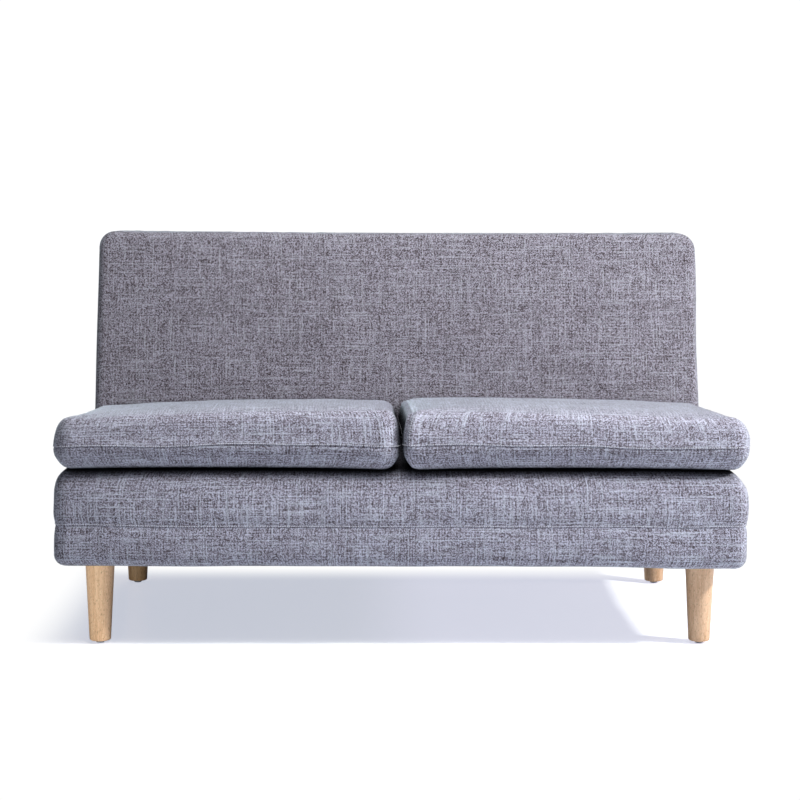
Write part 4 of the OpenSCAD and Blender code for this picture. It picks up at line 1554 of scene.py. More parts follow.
    def deck_box(self) -> SewnBox:
        """Shapes the cover from the seam over the shoulder to the deck.

        Returns:
            Its sewn box.
        """
        height = np.linspace(self.seam_z, self.deck_z - self.shoulder[1], 30)
        near = 1 - smooth(height, self.seam_z, self.seam_z + self.pinch_reach)
        side = np.stack([self.pinch * near ** 1.5, height], 1)
        top = rounded_edge(*self.shoulder, 2.0) + [0, self.deck_z - self.shoulder[1]]
        return self._box(np.concatenate([side, top[1:]]), shift=(0.0, 0.37))

    def band_box(self) -> SewnBox:
        """Shapes the band from the seam round the lower edge to the hem under the frame.

        Returns:
            Its sewn box.
        """
        height = np.linspace(self.seam_z, self.hem_z + self.low_edge, 24)
        near = 1 - smooth(self.seam_z - height, 0, self.pinch_reach)
        draw = (self.pinch - self.band_inset) * near ** 1.5
        side = np.stack([self.band_inset + draw, height], 1)
        low = rounded_edge(self.low_edge, self.low_edge, 2.0)
        low = np.stack([self.band_inset + low[:, 0], self.hem_z + self.low_edge - low[:, 1]], 1)
        last = [[self.frame_inset + self.hem, self.hem_z]]
        return self._box(np.concatenate([side, low[1:], last]), down=True, shift=(2.3, 1.1))

    def build(self) -> None:
        """Makes the cover, its seam and the dust cover."""
        deck = self.deck_box()
        top = Skin("base_deck_cover")
        deck.add_to(top)
        cover = self.own(
            top.build(self.finishes.cloth), "cloth",
            "base_cover_top", "seat_foam", "rear_pad", "frame_pad", "spring_felt")
        low = Skin("base_lower_band")
        sides_to(low, self.band_box())
        self.own(low.build(self.finishes.cloth), "cloth", "base_cover_band")
        seam = Skin("base_seam_stitches")
        rows = Stitching(thick=1.05 * MM)
        for side in Side:
            rows.on_side(seam, deck, side, above=2.6 * MM)
        self.own(seam.build(self.finishes.thread, merge=0), "cloth")
        DustCover(self.finishes).build(self.hem_z)


def sides_to(skin: Skin, box: SewnBox) -> None:
    """Puts the sides of a sewn box into a skin, without its face.

    Args:
        skin: The skin.
        box: The box, whose cloth runs on round its four sides.
    """
    for side in Side:
        t, run = np.meshgrid(box.columns[side.value], box.rows)
        x, y = box.flat_side(side, t, 0 * t)
        u = x * side.along[0] + y * side.along[1] + side.value * 0.9
        cloth = np.stack([u + box.shift[0], box.shift[1] - run], -1)
        skin.grid(box.side_points(side, t, run), cloth, flip=box.down)


@dataclass
class DustCover(Piece):
    """The thin black cloth under the base, with a hole round each leg.

    Attributes:
        cells: Cells across and along.
        drop: How far it lies below the hem.
        sag: How far it hangs in the middle.
        waves: Its waviness.
        clearance: How much wider a hole is than its leg.
        cut: Cells from the middle of a hole to the rim of what is cut out.
        eased: Cells from there to the last one that is moved to make the hole round.
    """

    cells: tuple[int, int] = (96, 52)
    drop: float = 0.4 * MM
    sag: float = 2.5 * MM
    waves: Ripple = Ripple(90 * MM, 0.35 * MM, 31)
    clearance: float = 1.2 * MM
    cut: int = 2
    eased: int = 2

    def build(self, ceiling: float) -> None:
        """Makes the cloth.

        Args:
            ceiling: Height of the hem that it is stapled to.
        """
        room = Room.of("dust_cover")
        x, y = np.meshgrid(
            np.linspace(room.low.x, room.high.x, self.cells[0] + 1),
            np.linspace(room.low.y, room.high.y, self.cells[1] + 1))
        a = np.clip(1 - (x / room.high.x) ** 2, 0, 1)
        b = np.clip(1 - ((y - room.middle.y) / (room.size.y / 2)) ** 2, 0, 1)
        z = ceiling - self.drop - self.sag * (a * b) ** 0.5 + self.waves.at(x, y) * a * b
        keep = np.ones(self.cells[::-1], bool)
        names = (f"leg_{row}_{side}" for row in ("front", "rear") for side in ("left", "right"))
        legs = [Room.of(name) for name in names]
        radii = [leg.size.x / 2 + self.clearance for leg in legs]
        for leg, radius in zip(legs, radii):
            self._hole(x, y, keep, leg.middle, radius)
        skin = Skin("base_dust_cloth")
        index = np.arange(x.size).reshape(x.shape)
        quads = np.stack([index[:-1, :-1], index[1:, :-1], index[1:, 1:], index[:-1, 1:]], -1)[keep]
        points = np.stack([x, y, z], -1).reshape(-1, 3)
        skin.quads(points, quads, points[:, :2])
        sheet = self.own(skin.build(self.finishes.cambric, merge=0), "lining", "dust_cover")
        drop_loose_points(sheet)
        holes = sum(math.pi * radius * radius for radius in radii)
        room.size.x
        room.size.y
        room.size.x * room.size.y - holes

    def _hole(self, x: Array, y: Array, keep: Array, middle: Vector, radius: float) -> None:
        """Cuts a hole and draws the cells round it to a circle.

        Args:
            x: Places of the points across, which are changed.
            y: Places of the points along, which are changed.
            keep: Which cells are kept, which is changed.
            middle: Middle of the hole.
            radius: Its radius.
        """
        i, j = np.abs(x[0] - middle.x).argmin(), np.abs(y[:, 0] - middle.y).argmin()
        keep[j - self.cut:j + self.cut, i - self.cut:i + self.cut] = False
        last = self.cut + self.eased
        for m in range(-last, last + 1):
            for n in range(-last, last + 1):
                ring = max(abs(m), abs(n))
                if ring < self.cut:
                    continue
                place = (j + m, i + n)
                way = np.array([x[place] - middle.x, y[place] - middle.y])
                way /= np.linalg.norm(way)
                share = (last - ring) / self.eased
                x[place] += share * (middle.x + way[0] * radius - x[place])
                y[place] += share * (middle.y + way[1] * radius - y[place])


def drop_loose_points(piece: Model) -> None:
    """Removes the points that no face uses.

    Args:
        piece: The piece that loses them.
    """
    work = bmesh.new()
    work.from_mesh(piece.data)
    bmesh.ops.delete(work, geom=[v for v in work.verts if not v.link_faces], context="VERTS")
    work.to_mesh(piece.data)
    work.free()


@dataclass(kw_only=True)
class Cushion(Piece):
    """A loose seat cushion: two boxed panels sewn together, with short seams up its corners.

    Places across and along are shares that go from -1 to 1, where 1 is the right end and the rear.

    Attributes:
        hand: The half of the seat that it lies on.
        seam: Height of its seam at the front.
        height: Height of its rim at the front.
        rear_height: Height of its rim at the rear, where the front one is cad_height.
        cad_height: Height that the taper of the CAD solid starts from.
        top_edge: Depth of the rounded upper edge.
        low_edge: Depth of the rounded lower edge.
        squareness: 2 where the upper edge is an ellipse, more where it is squarer.
        foot: Height over the seam at which the upper edge starts to turn in.
        corner: Radius of its corners, seen from above.
        crown: How far its top rises over the rim.
        dome: How flat the dome is across and along, as powers.
        droop: How far its top sinks towards its outer end.
        lean: How late it sinks, as a power.
        slump: How far its top sinks towards its rear.
        lift: How far its lower front edge bows up.
        draw: How far its sides are drawn in at their middle.
        tuck: How far its lower front edge is drawn back.
        spread: How far its outer end is pressed out.
        spread_from: Where across it starts to be.
        turn: How far the outer end of its front turns back.
        turn_from: Where across it starts to.
        rim: Where the top ends and the rim begins, as shares.
        wander: How far its seam wanders, and over what height.
        groove: Depth of the fold at the seam.
        crest: How far the seam up its inner front corner stands out.
        crest_place: Distance of that seam from the middle of the corner.
        crest_fall: Width over which it falls back to the front.
        crest_groove: Depth and width of the groove along it.
        open_corner: Whether the seam up its front left corner shows, with its sharp turn.
        open_radius: Radius of that corner.
        squared: How much the upper edge beside it is filled out, as a share.
        squared_from: Distance behind the corner over which that starts.
        slot: Depth of the slot that takes the zip.
        slot_reach: Heights over the seam between which the slot ends.
        seed: Number that picks its creases.
    """

    hand: Hand
    seam: float = 45 * MM
    height: float
    rear_height: float = 76 * MM
    cad_height: float = 106 * MM
    top_edge: float
    low_edge: float = 28 * MM
    squareness: float = 2.25
    foot: float = 8 * MM
    corner: float = 35 * MM
    crown: float
    dome: Span
    droop: float
    lean: float
    slump: float = 0.0
    lift: float = 7.5 * MM
    draw: float = 2.5 * MM
    tuck: float = 9 * MM
    spread: float = 1 * MM
    spread_from: float = 0.5
    turn: float = 0.0
    turn_from: float = 0.45
    rim: Span = (0.8, 0.97)
    wander: Span = (1.5 * MM, 16 * MM)
    groove: float = 0.95 * MM
    crest: float = 1.0 * MM
    crest_place: float = 10 * MM
    crest_fall: float = 18 * MM
    crest_groove: Span = (0.5 * MM, 0.9 * MM)
    open_corner: bool = False
    open_radius: float = 22 * MM
    squared: float = 0.6
    squared_from: float = 14 * MM
    slot: float = 3.2 * MM
    slot_reach: Span = (5.5 * MM, 7.5 * MM)
    seed: int

    def __post_init__(self) -> None:
        """Reads the places that the CAD gives."""
        self.side, self.outer = self.hand.value, self.hand.out
        self.body = f"{self.side}_cushion"
        self.room = Room.of(f"{self.side}_cushion_bottom", f"{self.side}_cushion_top")
        self.zip_half = Room.of(f"{self.side}_zip").size.x / 2
        self.size = (self.room.size.x, self.room.size.y - 0.4 * MM)
        self.front = self.room.high.y - self.size[1]
        self.floor = self.room.low.z
        self.foot_z = self.seam + self.foot
        self.radii = (self.open_radius if self.open_corner else self.corner,) + (self.corner,) * 3
        self.soft = Ripple(170 * MM, 1.0 * MM, self.seed + 1)
        self.uneven = Unevenness(
            Ripple(15 * MM, 0.45 * MM, self.seed), ((0.5 * MM, 4 * MM), (5 * MM, 26 * MM)),
            self.soft, (6 * MM, 22 * MM), share=0.6)
        self.waves = Ripple(260 * MM, self.wander[0], self.seed + 2)

    def level(self, y: Array, z: Array) -> Array:
        """Height over the floor of a height in the cushion, which thins to the rear."""
        thinner = 1 - self.rear_height / self.cad_height
        return self.floor + z * (1 - thinner * (y - self.front) / self.size[1])

    def _sink(self, across: Array, along: Array, z: Array) -> Array:
        """How far the top sinks to its outer end and its rear, less what the front edge bows up.

        Args:
            across: Places across, as shares.
            along: Places along, as shares.
            z: Heights in the cushion.

        Returns:
            How far each place sinks.
        """
        high = np.clip(z / self.height, 0, 1) ** 2
        outer = self.droop * ((1 + np.clip(self.outer * across, -1, 1)) / 2) ** self.lean
        rear = self.slump * (1 + np.clip(along, -1, 1)) / 2
        front = np.clip((-along - 0.7) / 0.3, 0, 1) ** 2
        bow = self.lift * (1 - across ** 2) * front * (1 - smooth(z, 0, self.seam))
        return (outer + rear) * high - bow

    def _place(self, x: Array, y: Array, z: Array) -> Array:
        """Puts flat places in the row frame, with the sides drawn in.

        Args:
            x: Places across the flat box.
            y: Places along it.
            z: Their heights.

        Returns:
            Places, as rows of three.
        """
        across, along = 2 * x / self.size[0], 2 * y / self.size[1]
        ahead, out = -along, self.outer * across
        edge = smooth(np.maximum(abs(across), abs(along)), *self.rim)
        z = z + self.waves.at(x, y) * np.exp(-((z - self.seam) / self.wander[1]) ** 2) * edge
        z = z - self._sink(across, along, z)
        px = self.room.middle.x + x - self.draw * across * (1 - along ** 2)
        px = px + self.outer * self.spread * smooth(out, self.spread_from, 1)
        middle = self.front + self.size[1] / 2
        py = y + self.draw * np.maximum(ahead, 0) * (1 - across ** 2) + middle
        py = py + self.turn * smooth(out, self.turn_from, 1) ** 2 * smooth(ahead, 0, 1)
        low = np.clip(1 - z / self.seam, 0, 1) ** 1.5
        py = py + self.tuck * (1 - across ** 6) * smooth(ahead, 0.5, 1) * low
        return np.stack([px, py, self.level(py, z)], -1)

    def _ridge(self, spot: Spot) -> Array:
        """The ridge along the seam up each front corner, which stands on the front face.

        Args:
            spot: Where the points lie.

        Returns:
            The inset of each point.
        """
        if spot.side is not Side.FRONT:
            return 0 * spot.x
        past = spot.corner - self.crest_place
        before = np.clip(spot.corner / self.crest_place, 0, 1)
        after = np.clip(1 - past / self.crest_fall, 0, 1)
        deep, wide = self.crest_groove
        groove = deep * np.exp(-(past / wide) ** 2)
        up = smooth(spot.height, self.seam - 14 * MM, self.seam)
        up = up * open_to(spot.height, self.height, 12 * MM)
        crest = np.where(spot.x * self.outer < 0, self.crest, 0.4 * self.crest)
        return up * (groove - crest * np.minimum(before, after))

    def _gathers(self, spot: Spot) -> Array:
        """The fold at the seam, its gathers, the corner seams and the zip's slot.

        Args:
            spot: Where the points lie.

        Returns:
            The inset of each point.
        """
        inset = Fold(self.seam, self.groove).at(spot) + self._ridge(spot)
        inset = inset + self.uneven.at(spot, self.height, 10 * MM)
        if self.open_corner and spot.side is Side.LEFT:
            share = np.clip((spot.height - self.foot_z) / (self.height - self.foot_z), 0, 1)
            edge = 1 - (1 - share ** self.squareness) ** (1 / self.squareness)
            filled = self.squared * self.top_edge * edge * smooth(spot.corner, 0, self.squared_from)
            inset = inset - filled * open_to(spot.height, self.height, 9 * MM)
        if spot.side is Side.REAR:
            slot = 1 - smooth(np.abs(spot.x), self.zip_half - 4 * MM, self.zip_half)
            slot = slot * (1 - smooth(spot.seam, *self.slot_reach))
            inset = inset * (1 - slot) + self.slot * slot
        return inset

    def _crown(self, a: Array, b: Array) -> Array:
        """The dome of the top, from places between -1 and 1."""
        dome = self.crown * (1 - np.abs(a) ** self.dome[0]) * (1 - np.abs(b) ** self.dome[1])
        return dome + self.soft.at(a * 0.3, b * 0.25) * (1 - a ** 4) * (1 - b ** 4)

    def top_box(self, **mesh: float) -> SewnBox:
        """Shapes the upper panel.

        Args:
            **mesh: Spacings of the mesh, where they aren't the usual ones.

        Returns:
            Its sewn box.
        """
        edge = rounded_edge(self.top_edge, self.height - self.foot_z, self.squareness)
        edge = edge + [0, self.foot_z]
        return SewnBox(
            self.size, self.radii, np.concatenate([[[0, self.seam]], edge]), self._place,
            self._gathers, self._crown, shift=(0.7 * self.seed, 0.21 * self.seed), **mesh)

    def low_box(self, **mesh: float) -> SewnBox:
        """Shapes the lower panel.

        Args:
            **mesh: Spacings of the mesh, where they aren't the usual ones.

        Returns:
            Its sewn box.
        """
        edge = rounded_edge(self.low_edge, self.seam, 1.9)
        edge = np.stack([edge[:, 0], self.seam - edge[:, 1]], 1)
        return SewnBox(
            self.size, self.radii, edge, self._place, self._gathers, down=True,
            shift=(0.5 * self.seed + 3, 0.4 * self.seed), **mesh)

    def _held(self, places: Array) -> Array:
        """How firmly each place of the coarse cushion is held.

        Args:
            places: The places.

        Returns:
            Firmness at each place, from 0 to 1.
        """
        seam = self.level(places[:, 1], self.seam)
        at_seam = 1 - smooth(np.abs(places[:, 2] - seam), 2 * MM, 16 * MM)
        below = 1 - smooth(places[:, 2], self.floor + 0.5 * MM, self.floor + 12 * MM)
        return np.maximum(at_seam * 0.9, below)

    def _swell(self, cushion: Model) -> None:
        """Blows the cushion up, by a simulation of the filling in a coarse copy.

        Args:
            cushion: The cushion, whose points are moved.
        """
        swell = Swell()
        coarse = Skin(f"{self.side}_coarse")
        mesh = {"step": 14 * MM, "fine": 8 * MM}
        for box in (self.top_box(**mesh), self.low_box(**mesh)):
            box.relief = plain
            box.add_to(coarse)
        rest, moved = swell.moves(coarse.build(self.finishes.cloth, merge=0.3 * MM), self._held)
        places = coordinates(cushion)
        move = swell.carry(rest, moved, places)
        move[:, 2] = np.maximum(move[:, 2], self.floor - places[:, 2])
        move_points(cushion, places + move)

    def build(self) -> None:
        """Makes the cushion, its stitches and its zip."""
        top, low = self.top_box(), self.low_box()
        skin = Skin(f"{self.side}_seat_cushion")
        top.add_to(skin)
        low.add_to(skin)
        cushion = skin.build(self.finishes.cloth)
        self._swell(cushion)
        self.own(
            cushion, "cloth", f"{self.side}_cushion_top", f"{self.side}_cushion_bottom",
            f"{self.side}_cushion_core", f"{self.side}_cushion_wrap")
        rows = Stitching()
        seam = Skin(f"{self.side}_cushion_stitches")
        for side in (Side.FRONT, Side.RIGHT, Side.LEFT):
            rows.on_side(seam, top, side, above=2.4 * MM)
        for side in (Side.REAR, Side.LEFT):
            rows.on_corner(seam, top, side, low=4 * MM, high=44 * MM, aside=1.6 * MM)
        if self.open_corner:
            rows.on_corner(seam, top, Side.FRONT, low=4 * MM, high=58 * MM, aside=self.crest_place)
        self.own(seam.build(self.finishes.thread, merge=0), "cloth")
        Zip(self.finishes, self.body, hand=self.hand).build()


@dataclass(kw_only=True)
class Zip(Piece):
    """The zip at the rear of a cushion: tape, coil and slider.

    Attributes:
        hand: The half of the seat that its cushion lies on.
        thick: Thickness of the tape.
        tooth: Spacing of the coil's turns.
        wire: Thickness of the coil's wire.
        reach: How far a turn reaches over the middle, and how far out from it.
        bulges: Thickness of a turn along its reach, as shares of the wire's.
        stop: Length, thickness and height of the stops at both ends.
        plate: Length and thickness of the slider's plate.
        waist: Height of the plate's middle, as a share of its ends'.
        lift: How far the middle of the plate lies behind the tape.
        pull: Length, thickness and height of the pull.
        hinge: Where the pull starts, from the slider's left end.
    """

    hand: Hand
    thick: float = 0.9 * MM
    tooth: float = 1.9 * MM
    wire: float = 0.75 * MM
    reach: Span = (0.5 * MM, 2.3 * MM)
    bulges: tuple[float, ...] = (0.55, 1.15, 1.0, 0.9, 0.9, 0.6)
    stop: Point = (5 * MM, 1.1 * MM, 8 * MM)
    plate: Span = (11 * MM, 1.2 * MM)
    waist: float = 0.72
    lift: float = 2.1 * MM
    pull: Point = (21 * MM, 0.45 * MM, 4.6 * MM)
    hinge: float = 3.2 * MM

    def __post_init__(self) -> None:
        """Notes the word that its names start with."""
        self.side = self.hand.value

    def build(self) -> None:
        """Makes the tape, the coil and the slider."""
        room = Room.of(f"{self.side}_zip")
        face = room.low.y + 1.0 * MM
        self._tape(room, face)
        self._coil(room, face)
        self._slider(Room.of(f"{self.side}_zip_slider"), face)

    def _tape(self, room: Room, face: float) -> None:
        """Makes the tape, a thin closed strip.

        Args:
            room: The box that the zip fills.
            face: Y of the tape's rear face.
        """
        skin = Skin(f"{self.side}_zip_tape")
        half = room.size.z / 2
        corners = [(-half, 0), (half, 0), (half, -self.thick), (-half, -self.thick)]
        section = np.array(corners + corners[:1])
        x, k = np.meshgrid(np.linspace(room.low.x, room.high.x, 120), np.arange(len(section)))
        points = np.stack([x, face + section[k, 1], room.middle.z + section[k, 0]], -1)
        skin.grid(points, points[..., [0, 2]])
        for end in (0, -1):
            cap = np.stack([points[[0, 1], end], points[[3, 2], end]])
            skin.grid(cap, cap[..., [1, 2]], flip=end == 0)
        self.own(skin.build(self.finishes.tape), "zip_tape", f"{self.side}_zip")

    def _coil(self, room: Room, face: float) -> None:
        """Makes the two interlocked rows of the coil, and the stops at both ends.

        Args:
            room: The box that the zip fills.
            face: Y of the tape's rear face.
        """
        skin = Skin(f"{self.side}_zip_coil")
        radius = self.wire / 2
        start, end = room.low.x + self.stop[0], room.high.x - self.stop[0]
        count = int((end - start) / self.tooth)
        levels = len(self.bulges)
        reach = np.linspace(-self.reach[0], self.reach[1], levels)
        bulge = radius * np.array(self.bulges)
        for row in (-1, 1):
            centre = np.linspace(start, end, count) + row * self.tooth / 4
            angle = np.linspace(0, math.tau, 7)
            c, r, a = np.meshgrid(centre, np.arange(levels), angle, indexing="ij")
            points = np.stack([
                c + bulge[r] * np.cos(a),
                face + radius * 1.05 + bulge[r] * np.sin(a),
                room.middle.z + row * reach[r] + 0 * a], -1)
            for tooth in points:
                skin.grid(tooth, flip=row < 0)
        for x in (room.low.x + self.stop[0] / 2, room.high.x - self.stop[0] / 2):
            skin.grid(rounded_bar(*self.stop) + [x, face + self.stop[1] / 2, room.middle.z])
        self.own(skin.build(self.finishes.coil, merge=0), "zip_tape")

    def _slider(self, room: Room, face: float) -> None:
        """Makes the slider's plate with its waist, and the pull on its bail.

        Args:
            room: The box that the slider fills.
            face: Y of the tape's rear face.
        """
        skin = Skin(f"{self.side}_zip_runner")
        length, thick = self.plate
        along = np.linspace(0, 1, 25)
        swing = np.abs(2 * along - 1)
        half = room.size.z / 2 * (self.waist + (1 - self.waist) * swing ** 1.5)
        end = (1 - swing ** 8)[:, None] ** 0.5
        x, a = np.meshgrid(room.low.x + along * length, np.linspace(0, math.tau, 25), indexing="ij")
        y = face + self.lift + thick / 2 * end * squared(np.sin(a))
        z = room.middle.z + half[:, None] * end * squared(np.cos(a))
        skin.grid(np.stack([x, y, z], -1), np.stack([x, z], -1))
        middle = room.low.x + self.hinge + self.pull[0] / 2
        behind = face + self.lift + 0.95 * MM
        skin.grid(rounded_bar(*self.pull, waist=0.35) + [middle, behind, room.middle.z])
        piece = skin.build(self.finishes.nickel)
        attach(piece, f"{self.side}_zip_slider")
        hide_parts(f"{self.side}_zip_slider")


def rounded_bar(length: float, thick: float, height: float, waist: float = 0.0) -> Array:
    """A small bar with rounded ends, along X, as a closed grid of points.

    Args:
        length: Its length along X.
        thick: Its thickness along Y.
        height: Its height along Z.
        waist: How much narrower it is in its middle, as a share.

    Returns:
        A grid of places round the origin.
    """
    t, a = np.meshgrid(np.linspace(-1, 1, 21), np.linspace(0, math.tau, 17), indexing="ij")
    end = np.clip(1 - np.abs(t) ** 14, 0, 1) ** 0.5
    slim = 1 - waist * (1 - t ** 2)
    y = thick / 2 * end * squared(np.sin(a))
    z = height / 2 * end * slim * squared(np.cos(a))
    return np.stack([t * length / 2, y, z], -1)


@dataclass
class Back(Piece):
    """The wedge-shaped back: one cover over the front, the sides and the top, and a rear panel.

    Attributes:
        depth: Its depth at the deck.
        top_depth: Its depth at the top.
        radii: Radii of its corners seen from the front: low left, low right, high right, high left.
        edge: Radius of the edge round the front face.
        crown: How far the front face bulges.
        dip: How far the top dips in the middle.
        rear_inset: How far the rear panel lies inside the sides.
        rear_hem: Width of the rear panel's strip that shows behind the cover.
        fold_reach: Distance from the rear seam over which the cover folds in.
        soft: The softness of its padding.
        uneven: The gathers at the rear seam and the softness of the sides.
    """

    depth: float = 189 * MM
    top_depth: float = 103 * MM
    radii: tuple[float, float, float, float] = (18 * MM, 18 * MM, 36 * MM, 33 * MM)
    edge: float = 17 * MM
    crown: float = 9 * MM
    dip: float = 3 * MM
    rear_inset: float = 2 * MM
    rear_hem: float = 6 * MM
    fold_reach: float = 5 * MM
    soft: Ripple = Ripple(210 * MM, 1.1 * MM, 41)
    uneven: Unevenness = Unevenness(
        Ripple(26 * MM, 0.3 * MM, 42), ((1 * MM, 6 * MM), (10 * MM, 40 * MM)),
        Ripple(210 * MM, 1.1 * MM, 41), (10 * MM, 60 * MM), share=-0.5)

    def __post_init__(self) -> None:
        """Reads the places that the CAD gives."""
        room = Room.of("back_cover_front", "back_cover_rear")
        self.deck = room.low.z
        self.width, self.high = room.size.x, room.size.z
        self.rear = room.high.y
        self.nominal = (self.depth + self.top_depth) / 2

    def face_y(self, z: Array) -> Array:
        """Depth of the leaning face at a height."""
        return self.rear - self.depth + (z - self.deck) * (self.depth - self.top_depth) / self.high

    def _place(self, x: Array, up: Array, ahead: Array) -> Array:
        """Puts a place of the flat box in the row frame.

        Args:
            x: Place across.
            up: Place along the flat box, from its middle.
            ahead: Height over the leaning face, towards the front.

        Returns:
            Places, as rows of three.
        """
        across, share = 2 * x / self.width, np.maximum(up / self.high + 0.5, 0)
        z = self.deck + self.high / 2 + up - self.dip * (1 - across ** 2) * share ** 3
        behind = np.clip((-ahead - self.edge) / (self.nominal - self.edge), 0, 1)
        start = np.maximum(ahead, -self.edge)
        y = (self.face_y(z) - start) * (1 - behind) + self.rear * behind
        return np.stack([x, y, z], -1)

    def _relief(self, spot: Spot) -> Array:
        """The fold at the rear edge and a slight waviness of the sides."""
        fold = self.rear_inset * (1 - smooth(spot.seam, 0, self.fold_reach)) ** 1.5
        return fold + self.uneven.at(spot, 0, 6 * MM)

    def _rise(self, a: Array, b: Array) -> Array:
        """The bulge of the front face.

        Args:
            a: Places across, from -1 to 1.
            b: Places up, from -1 to 1.

        Returns:
            The rise of each place.
        """
        bulge = self.crown * (1 - np.abs(a) ** 3) * (1 - np.abs(b) ** 2.2)
        soft = self.soft.at(a * self.width / 2, b * self.high / 2)
        return bulge + soft * (1 - a ** 4) * (1 - b ** 4)

    def _box(self, profile: Array, **more: Relief | Rise | bool | Span) -> SewnBox:
        """A sewn box of the back's width and height."""
        return SewnBox((self.width, self.high), self.radii, profile, self._place, **more)

    def front_box(self) -> SewnBox:
        """Shapes the cover of the front, the sides and the top.

        Returns:
            Its sewn box.
        """
        side = np.stack([np.zeros(30), np.linspace(-self.nominal, -self.edge, 30)], 1)
        edge = rounded_edge(self.edge, self.edge, 2.0) + [0, -self.edge]
        path = np.concatenate([side, edge[1:]])
        return self._box(path, relief=self._relief, rise=self._rise, shift=(5.1, 0.3))

    def rear_box(self) -> SewnBox:
        """Shapes the flat rear panel, sewn to the cover round its edge.

        Returns:
            Its sewn box.
        """
        inset = self.rear_inset + np.array([0, self.rear_hem])
        path = np.stack([inset, np.full(2, -self.nominal)], 1)
        return self._box(path, down=True, shift=(7.7, 0.9))

    def build(self) -> None:
        """Makes the cover, the rear panel and their stitches."""
        front, rear = self.front_box(), self.rear_box()
        skin = Skin("back_cover")
        front.add_to(skin)
        cover = self.own(
            skin.build(self.finishes.shaded_back_cloth), "cloth",
            "back_cover_front", "back_foam", "back_webbing")
        panel = Skin("back_rear_panel")
        rear.add_to(panel)
        self.own(panel.build(self.finishes.shaded_back_cloth), "cloth", "back_cover_rear")
        rows = Stitching(pitch=6 * MM, gap=2 * MM)
        seam = Skin("back_seam_stitches")
        for side in (Side.RIGHT, Side.REAR, Side.LEFT):
            rows.on_side(seam, front, side, above=2.0 * MM)
        self.own(seam.build(self.finishes.thread, merge=0), "cloth")


@dataclass
class Hardware:
    """The CAD nodes that show as they are, with their finishes.

    Attributes:
        finishes: Every material of the scene.
        steel_words: Words in the names of the steel nodes.
    """

    finishes: Finishes
    steel_words: tuple[str, ...] = ("bolt", "nut", "screw", "washer", "spring", "clip")

    def _finish_of(self, name: str) -> Material:
        """Picks the finish of a CAD node.

        Args:
            name: Name of the node.

        Returns:
            Its material.
        """
        if name.startswith(("leg_front", "leg_rear")):
            return self.finishes.wood
        if name.startswith("glide"):
            return self.finishes.plastic
        if "ledger" not in name and any(word in name for word in self.steel_words):
            return self.finishes.steel
        return self.finishes.plywood

    def dress(self, nodes: dict[str, Model]) -> None:
        """Gives every CAD node that still shows its finish.

        Args:
            nodes: The CAD nodes by name.
        """
        for name, node in nodes.items():
            if node.hide_render:
                continue
            finish = self._finish_of(name)
            if node.material_slots:
                for place in node.material_slots:
                    place.material = finish
            else:
                node.data.materials.append(finish)
            LOG.info("%s: %s", name, finish.name)


# Stage


@dataclass(frozen=True)
class Camera:
    """The camera that the photograph was taken with, fitted to the object's edges.

    Attributes:
        place: Where it stands.
        turn: How far it looks to the right of straight ahead, in radians.
        tilt: How far it looks down, in radians.
        roll: How far the picture leans, in radians.
        focal: Focal length, as a share of the picture's width.
        centre: Height of the lens's axis in the picture, as a share of it from the top.
    """

    place: Point = (-0.0557, -3.7635, 0.7946)
    turn: float = 0.0151
    tilt: float = 0.0478
    roll: float = 0.0041
    focal: float = 1921.3 / 800
    centre: float = 300 / 800

    def build(self) -> None:
        """Makes the camera and looks through it."""
        data = bpy.data.cameras.new("photo_camera")
        data.sensor_fit, data.sensor_width = "HORIZONTAL", 36.0
        data.lens = self.focal * data.sensor_width
        data.shift_y = self.centre - 0.5
        data.clip_start, data.clip_end = 0.05, 60
        camera = bpy.data.objects.new("photo_camera", data)
        bpy.context.scene.collection.objects.link(camera)
        level = Matrix.Rotation(math.pi / 2 - self.tilt, 4, "X")
        level = level @ Matrix.Rotation(self.roll, 4, "Z")
        aimed = Matrix.Translation(self.place) @ Matrix.Rotation(-self.turn, 4, "Z")
        camera.matrix_world = aimed @ level
        bpy.context.scene.camera = camera


@dataclass(frozen=True)
class Lamp:
    """A flat studio lamp that looks at a point.

    Attributes:
        name: Its name.
        way: Direction from the point to the lamp.
        distance: Distance from the point.
        size: Width and height of the lamp.
        watts: Its power.
        colour: Colour of its light.
        target: The point.
        only: The CAD nodes that it lights, or none to light everything.
        spares: The stage pieces that it doesn't light.
    """

    name: str
    way: Point
    distance: float
    size: Span
    watts: float
    colour: Colour = (1.0, 1.0, 1.0)
    target: Point = (0.0, 0.0, 0.35)
    only: tuple[str, ...] = ()
    spares: tuple[str, ...] = ()

    def build(self) -> None:
        """Makes the lamp."""
        data = bpy.data.lights.new(self.name, "AREA")
        data.shape, data.size, data.size_y = "RECTANGLE", *self.size
        data.energy, data.color = self.watts, self.colour
        lamp = bpy.data.objects.new(self.name, data)
        way = Vector(self.way).normalized()
        lamp.location = Vector(self.target) + way * self.distance
        lamp.rotation_euler = (-way).to_track_quat("-Z", "Y").to_euler()
        if self.only or self.spares:
            lit = bpy.data.collections.new(f"{self.name}_lights")
            for name in self.only:
                lit.objects.link(frame["nodes"][name])
            for name in self.spares:
                lit.objects.link(bpy.data.objects[name])
                lit.collection_objects[-1].light_linking.link_state = "EXCLUDE"
            lamp.light_linking.receiver_collection = lit
        bpy.context.scene.collection.objects.link(lamp)


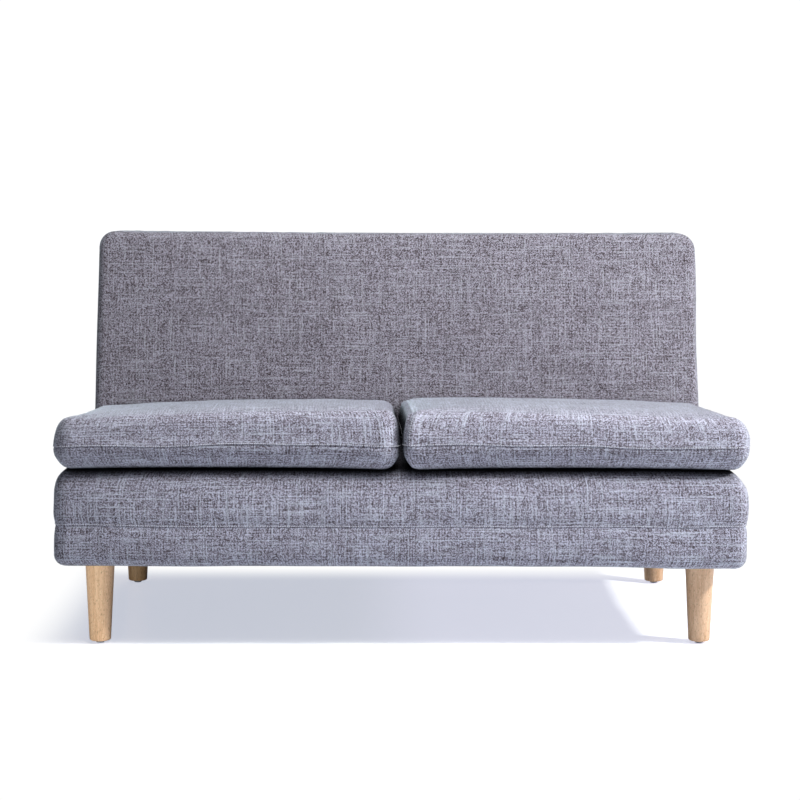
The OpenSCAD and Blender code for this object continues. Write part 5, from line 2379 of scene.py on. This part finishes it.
LAMPS = (
    Lamp("key_lamp", (2.846, -1.125, 1.802), 3.55, (0.24, 0.24), 94.0),
    Lamp("high_lamp", (0.25, -0.433, 0.866), 2.6, (1.6, 1.2), 50.0),
    Lamp("top_lamp", (0.045, -0.255, 0.966), 2.6, (1.6, 1.2), 26.0),
    Lamp("side_lamp", (1.0, 0.0, 0.156), 3.0, (0.6, 0.3), 15.0, (1.0, 0.9, 0.85), (0.0, 0.0, 0.1)),
    Lamp(
        "leg_lamp", (-0.34, -0.94, 0.09), 1.0, (0.3, 0.3), 4.0, (1.0, 0.96, 0.76),
        target=(-0.548, -0.278, 0.08),
        only=("leg_front_left", "leg_rear_left", "glide_front_left", "glide_rear_left")),
    Lamp(
        "rear_lamp", (-0.5, 0.95, 0.22), 2.6, (1.6, 1.2), 34.0, (0.97, 0.98, 1.0),
        spares=("studio_floor",)),
)


@dataclass(frozen=True)
class Studio:
    """The stage: a white floor and surroundings, the lamps and the camera.

    Attributes:
        lamps: The lamps.
        low: Least X and Y of the floor.
        high: Greatest X and Y of it.
        soft: Strength of the light from the surroundings.
        white: Brightness of the surroundings themselves.
    """

    lamps: tuple[Lamp, ...] = LAMPS
    low: Span = (-12, -8)
    high: Span = (12, 16)
    soft: float = 0.03
    white: float = 1.05

    def build(self) -> None:
        """Makes the stage."""
        self._floor()
        self._surroundings()
        for lamp in self.lamps:
            lamp.build()
        Camera().build()
        view = bpy.context.scene.view_settings
        view.view_transform, view.look = "Standard", "None"
        view.exposure, view.gamma = 0.0, 1.0

    def _floor(self) -> None:
        """A wide floor under the glides."""
        skin = Skin("studio_floor")
        x, y = np.meshgrid(*(np.linspace(low, high, 13) for low, high in zip(self.low, self.high)))
        skin.grid(np.stack([x, y, 0 * x], -1), np.stack([x, y], -1))
        skin.build(StageFloor().material())

    def _surroundings(self) -> None:
        """White surroundings that light the scene softly."""
        s = Shader("studio_white", world=True)
        bpy.context.scene.world = s.material
        soft, white = (
            s.node("ShaderNodeBackground", None, {"Color": (1.0, 1.0, 1.0), "Strength": strength})
            for strength in (self.soft, self.white))
        watched = s.node("ShaderNodeLightPath", None, None, "Is Camera Ray")
        s.node_out(s.node("ShaderNodeMixShader", None, {0: watched, 1: soft, 2: white}))


def main() -> None:
    """Builds every part of the scene in order."""
    logging.basicConfig(level=logging.INFO, format="%(message)s")
    Studio().build()
    finishes = Finishes()
    Base(finishes).build()
    Back(finishes).build()
    Cushion(
        finishes, hand=Hand.LEFT, seed=3, height=111 * MM, top_edge=23 * MM, crown=10 * MM,
        dome=(2.9, 3.9), droop=18.5 * MM, lean=1.9, slump=9 * MM, turn=6 * MM).build()
    Cushion(
        finishes, hand=Hand.RIGHT, seed=7, height=109.5 * MM, top_edge=29 * MM,
        crown=9.5 * MM, dome=(4.3, 3.6), droop=14 * MM, lean=1.5, spread=3.5 * MM, crest=5 * MM,
        open_corner=True).build()
    Hardware(finishes).dress(frame["nodes"])


if __name__ == "__main__":
    main()
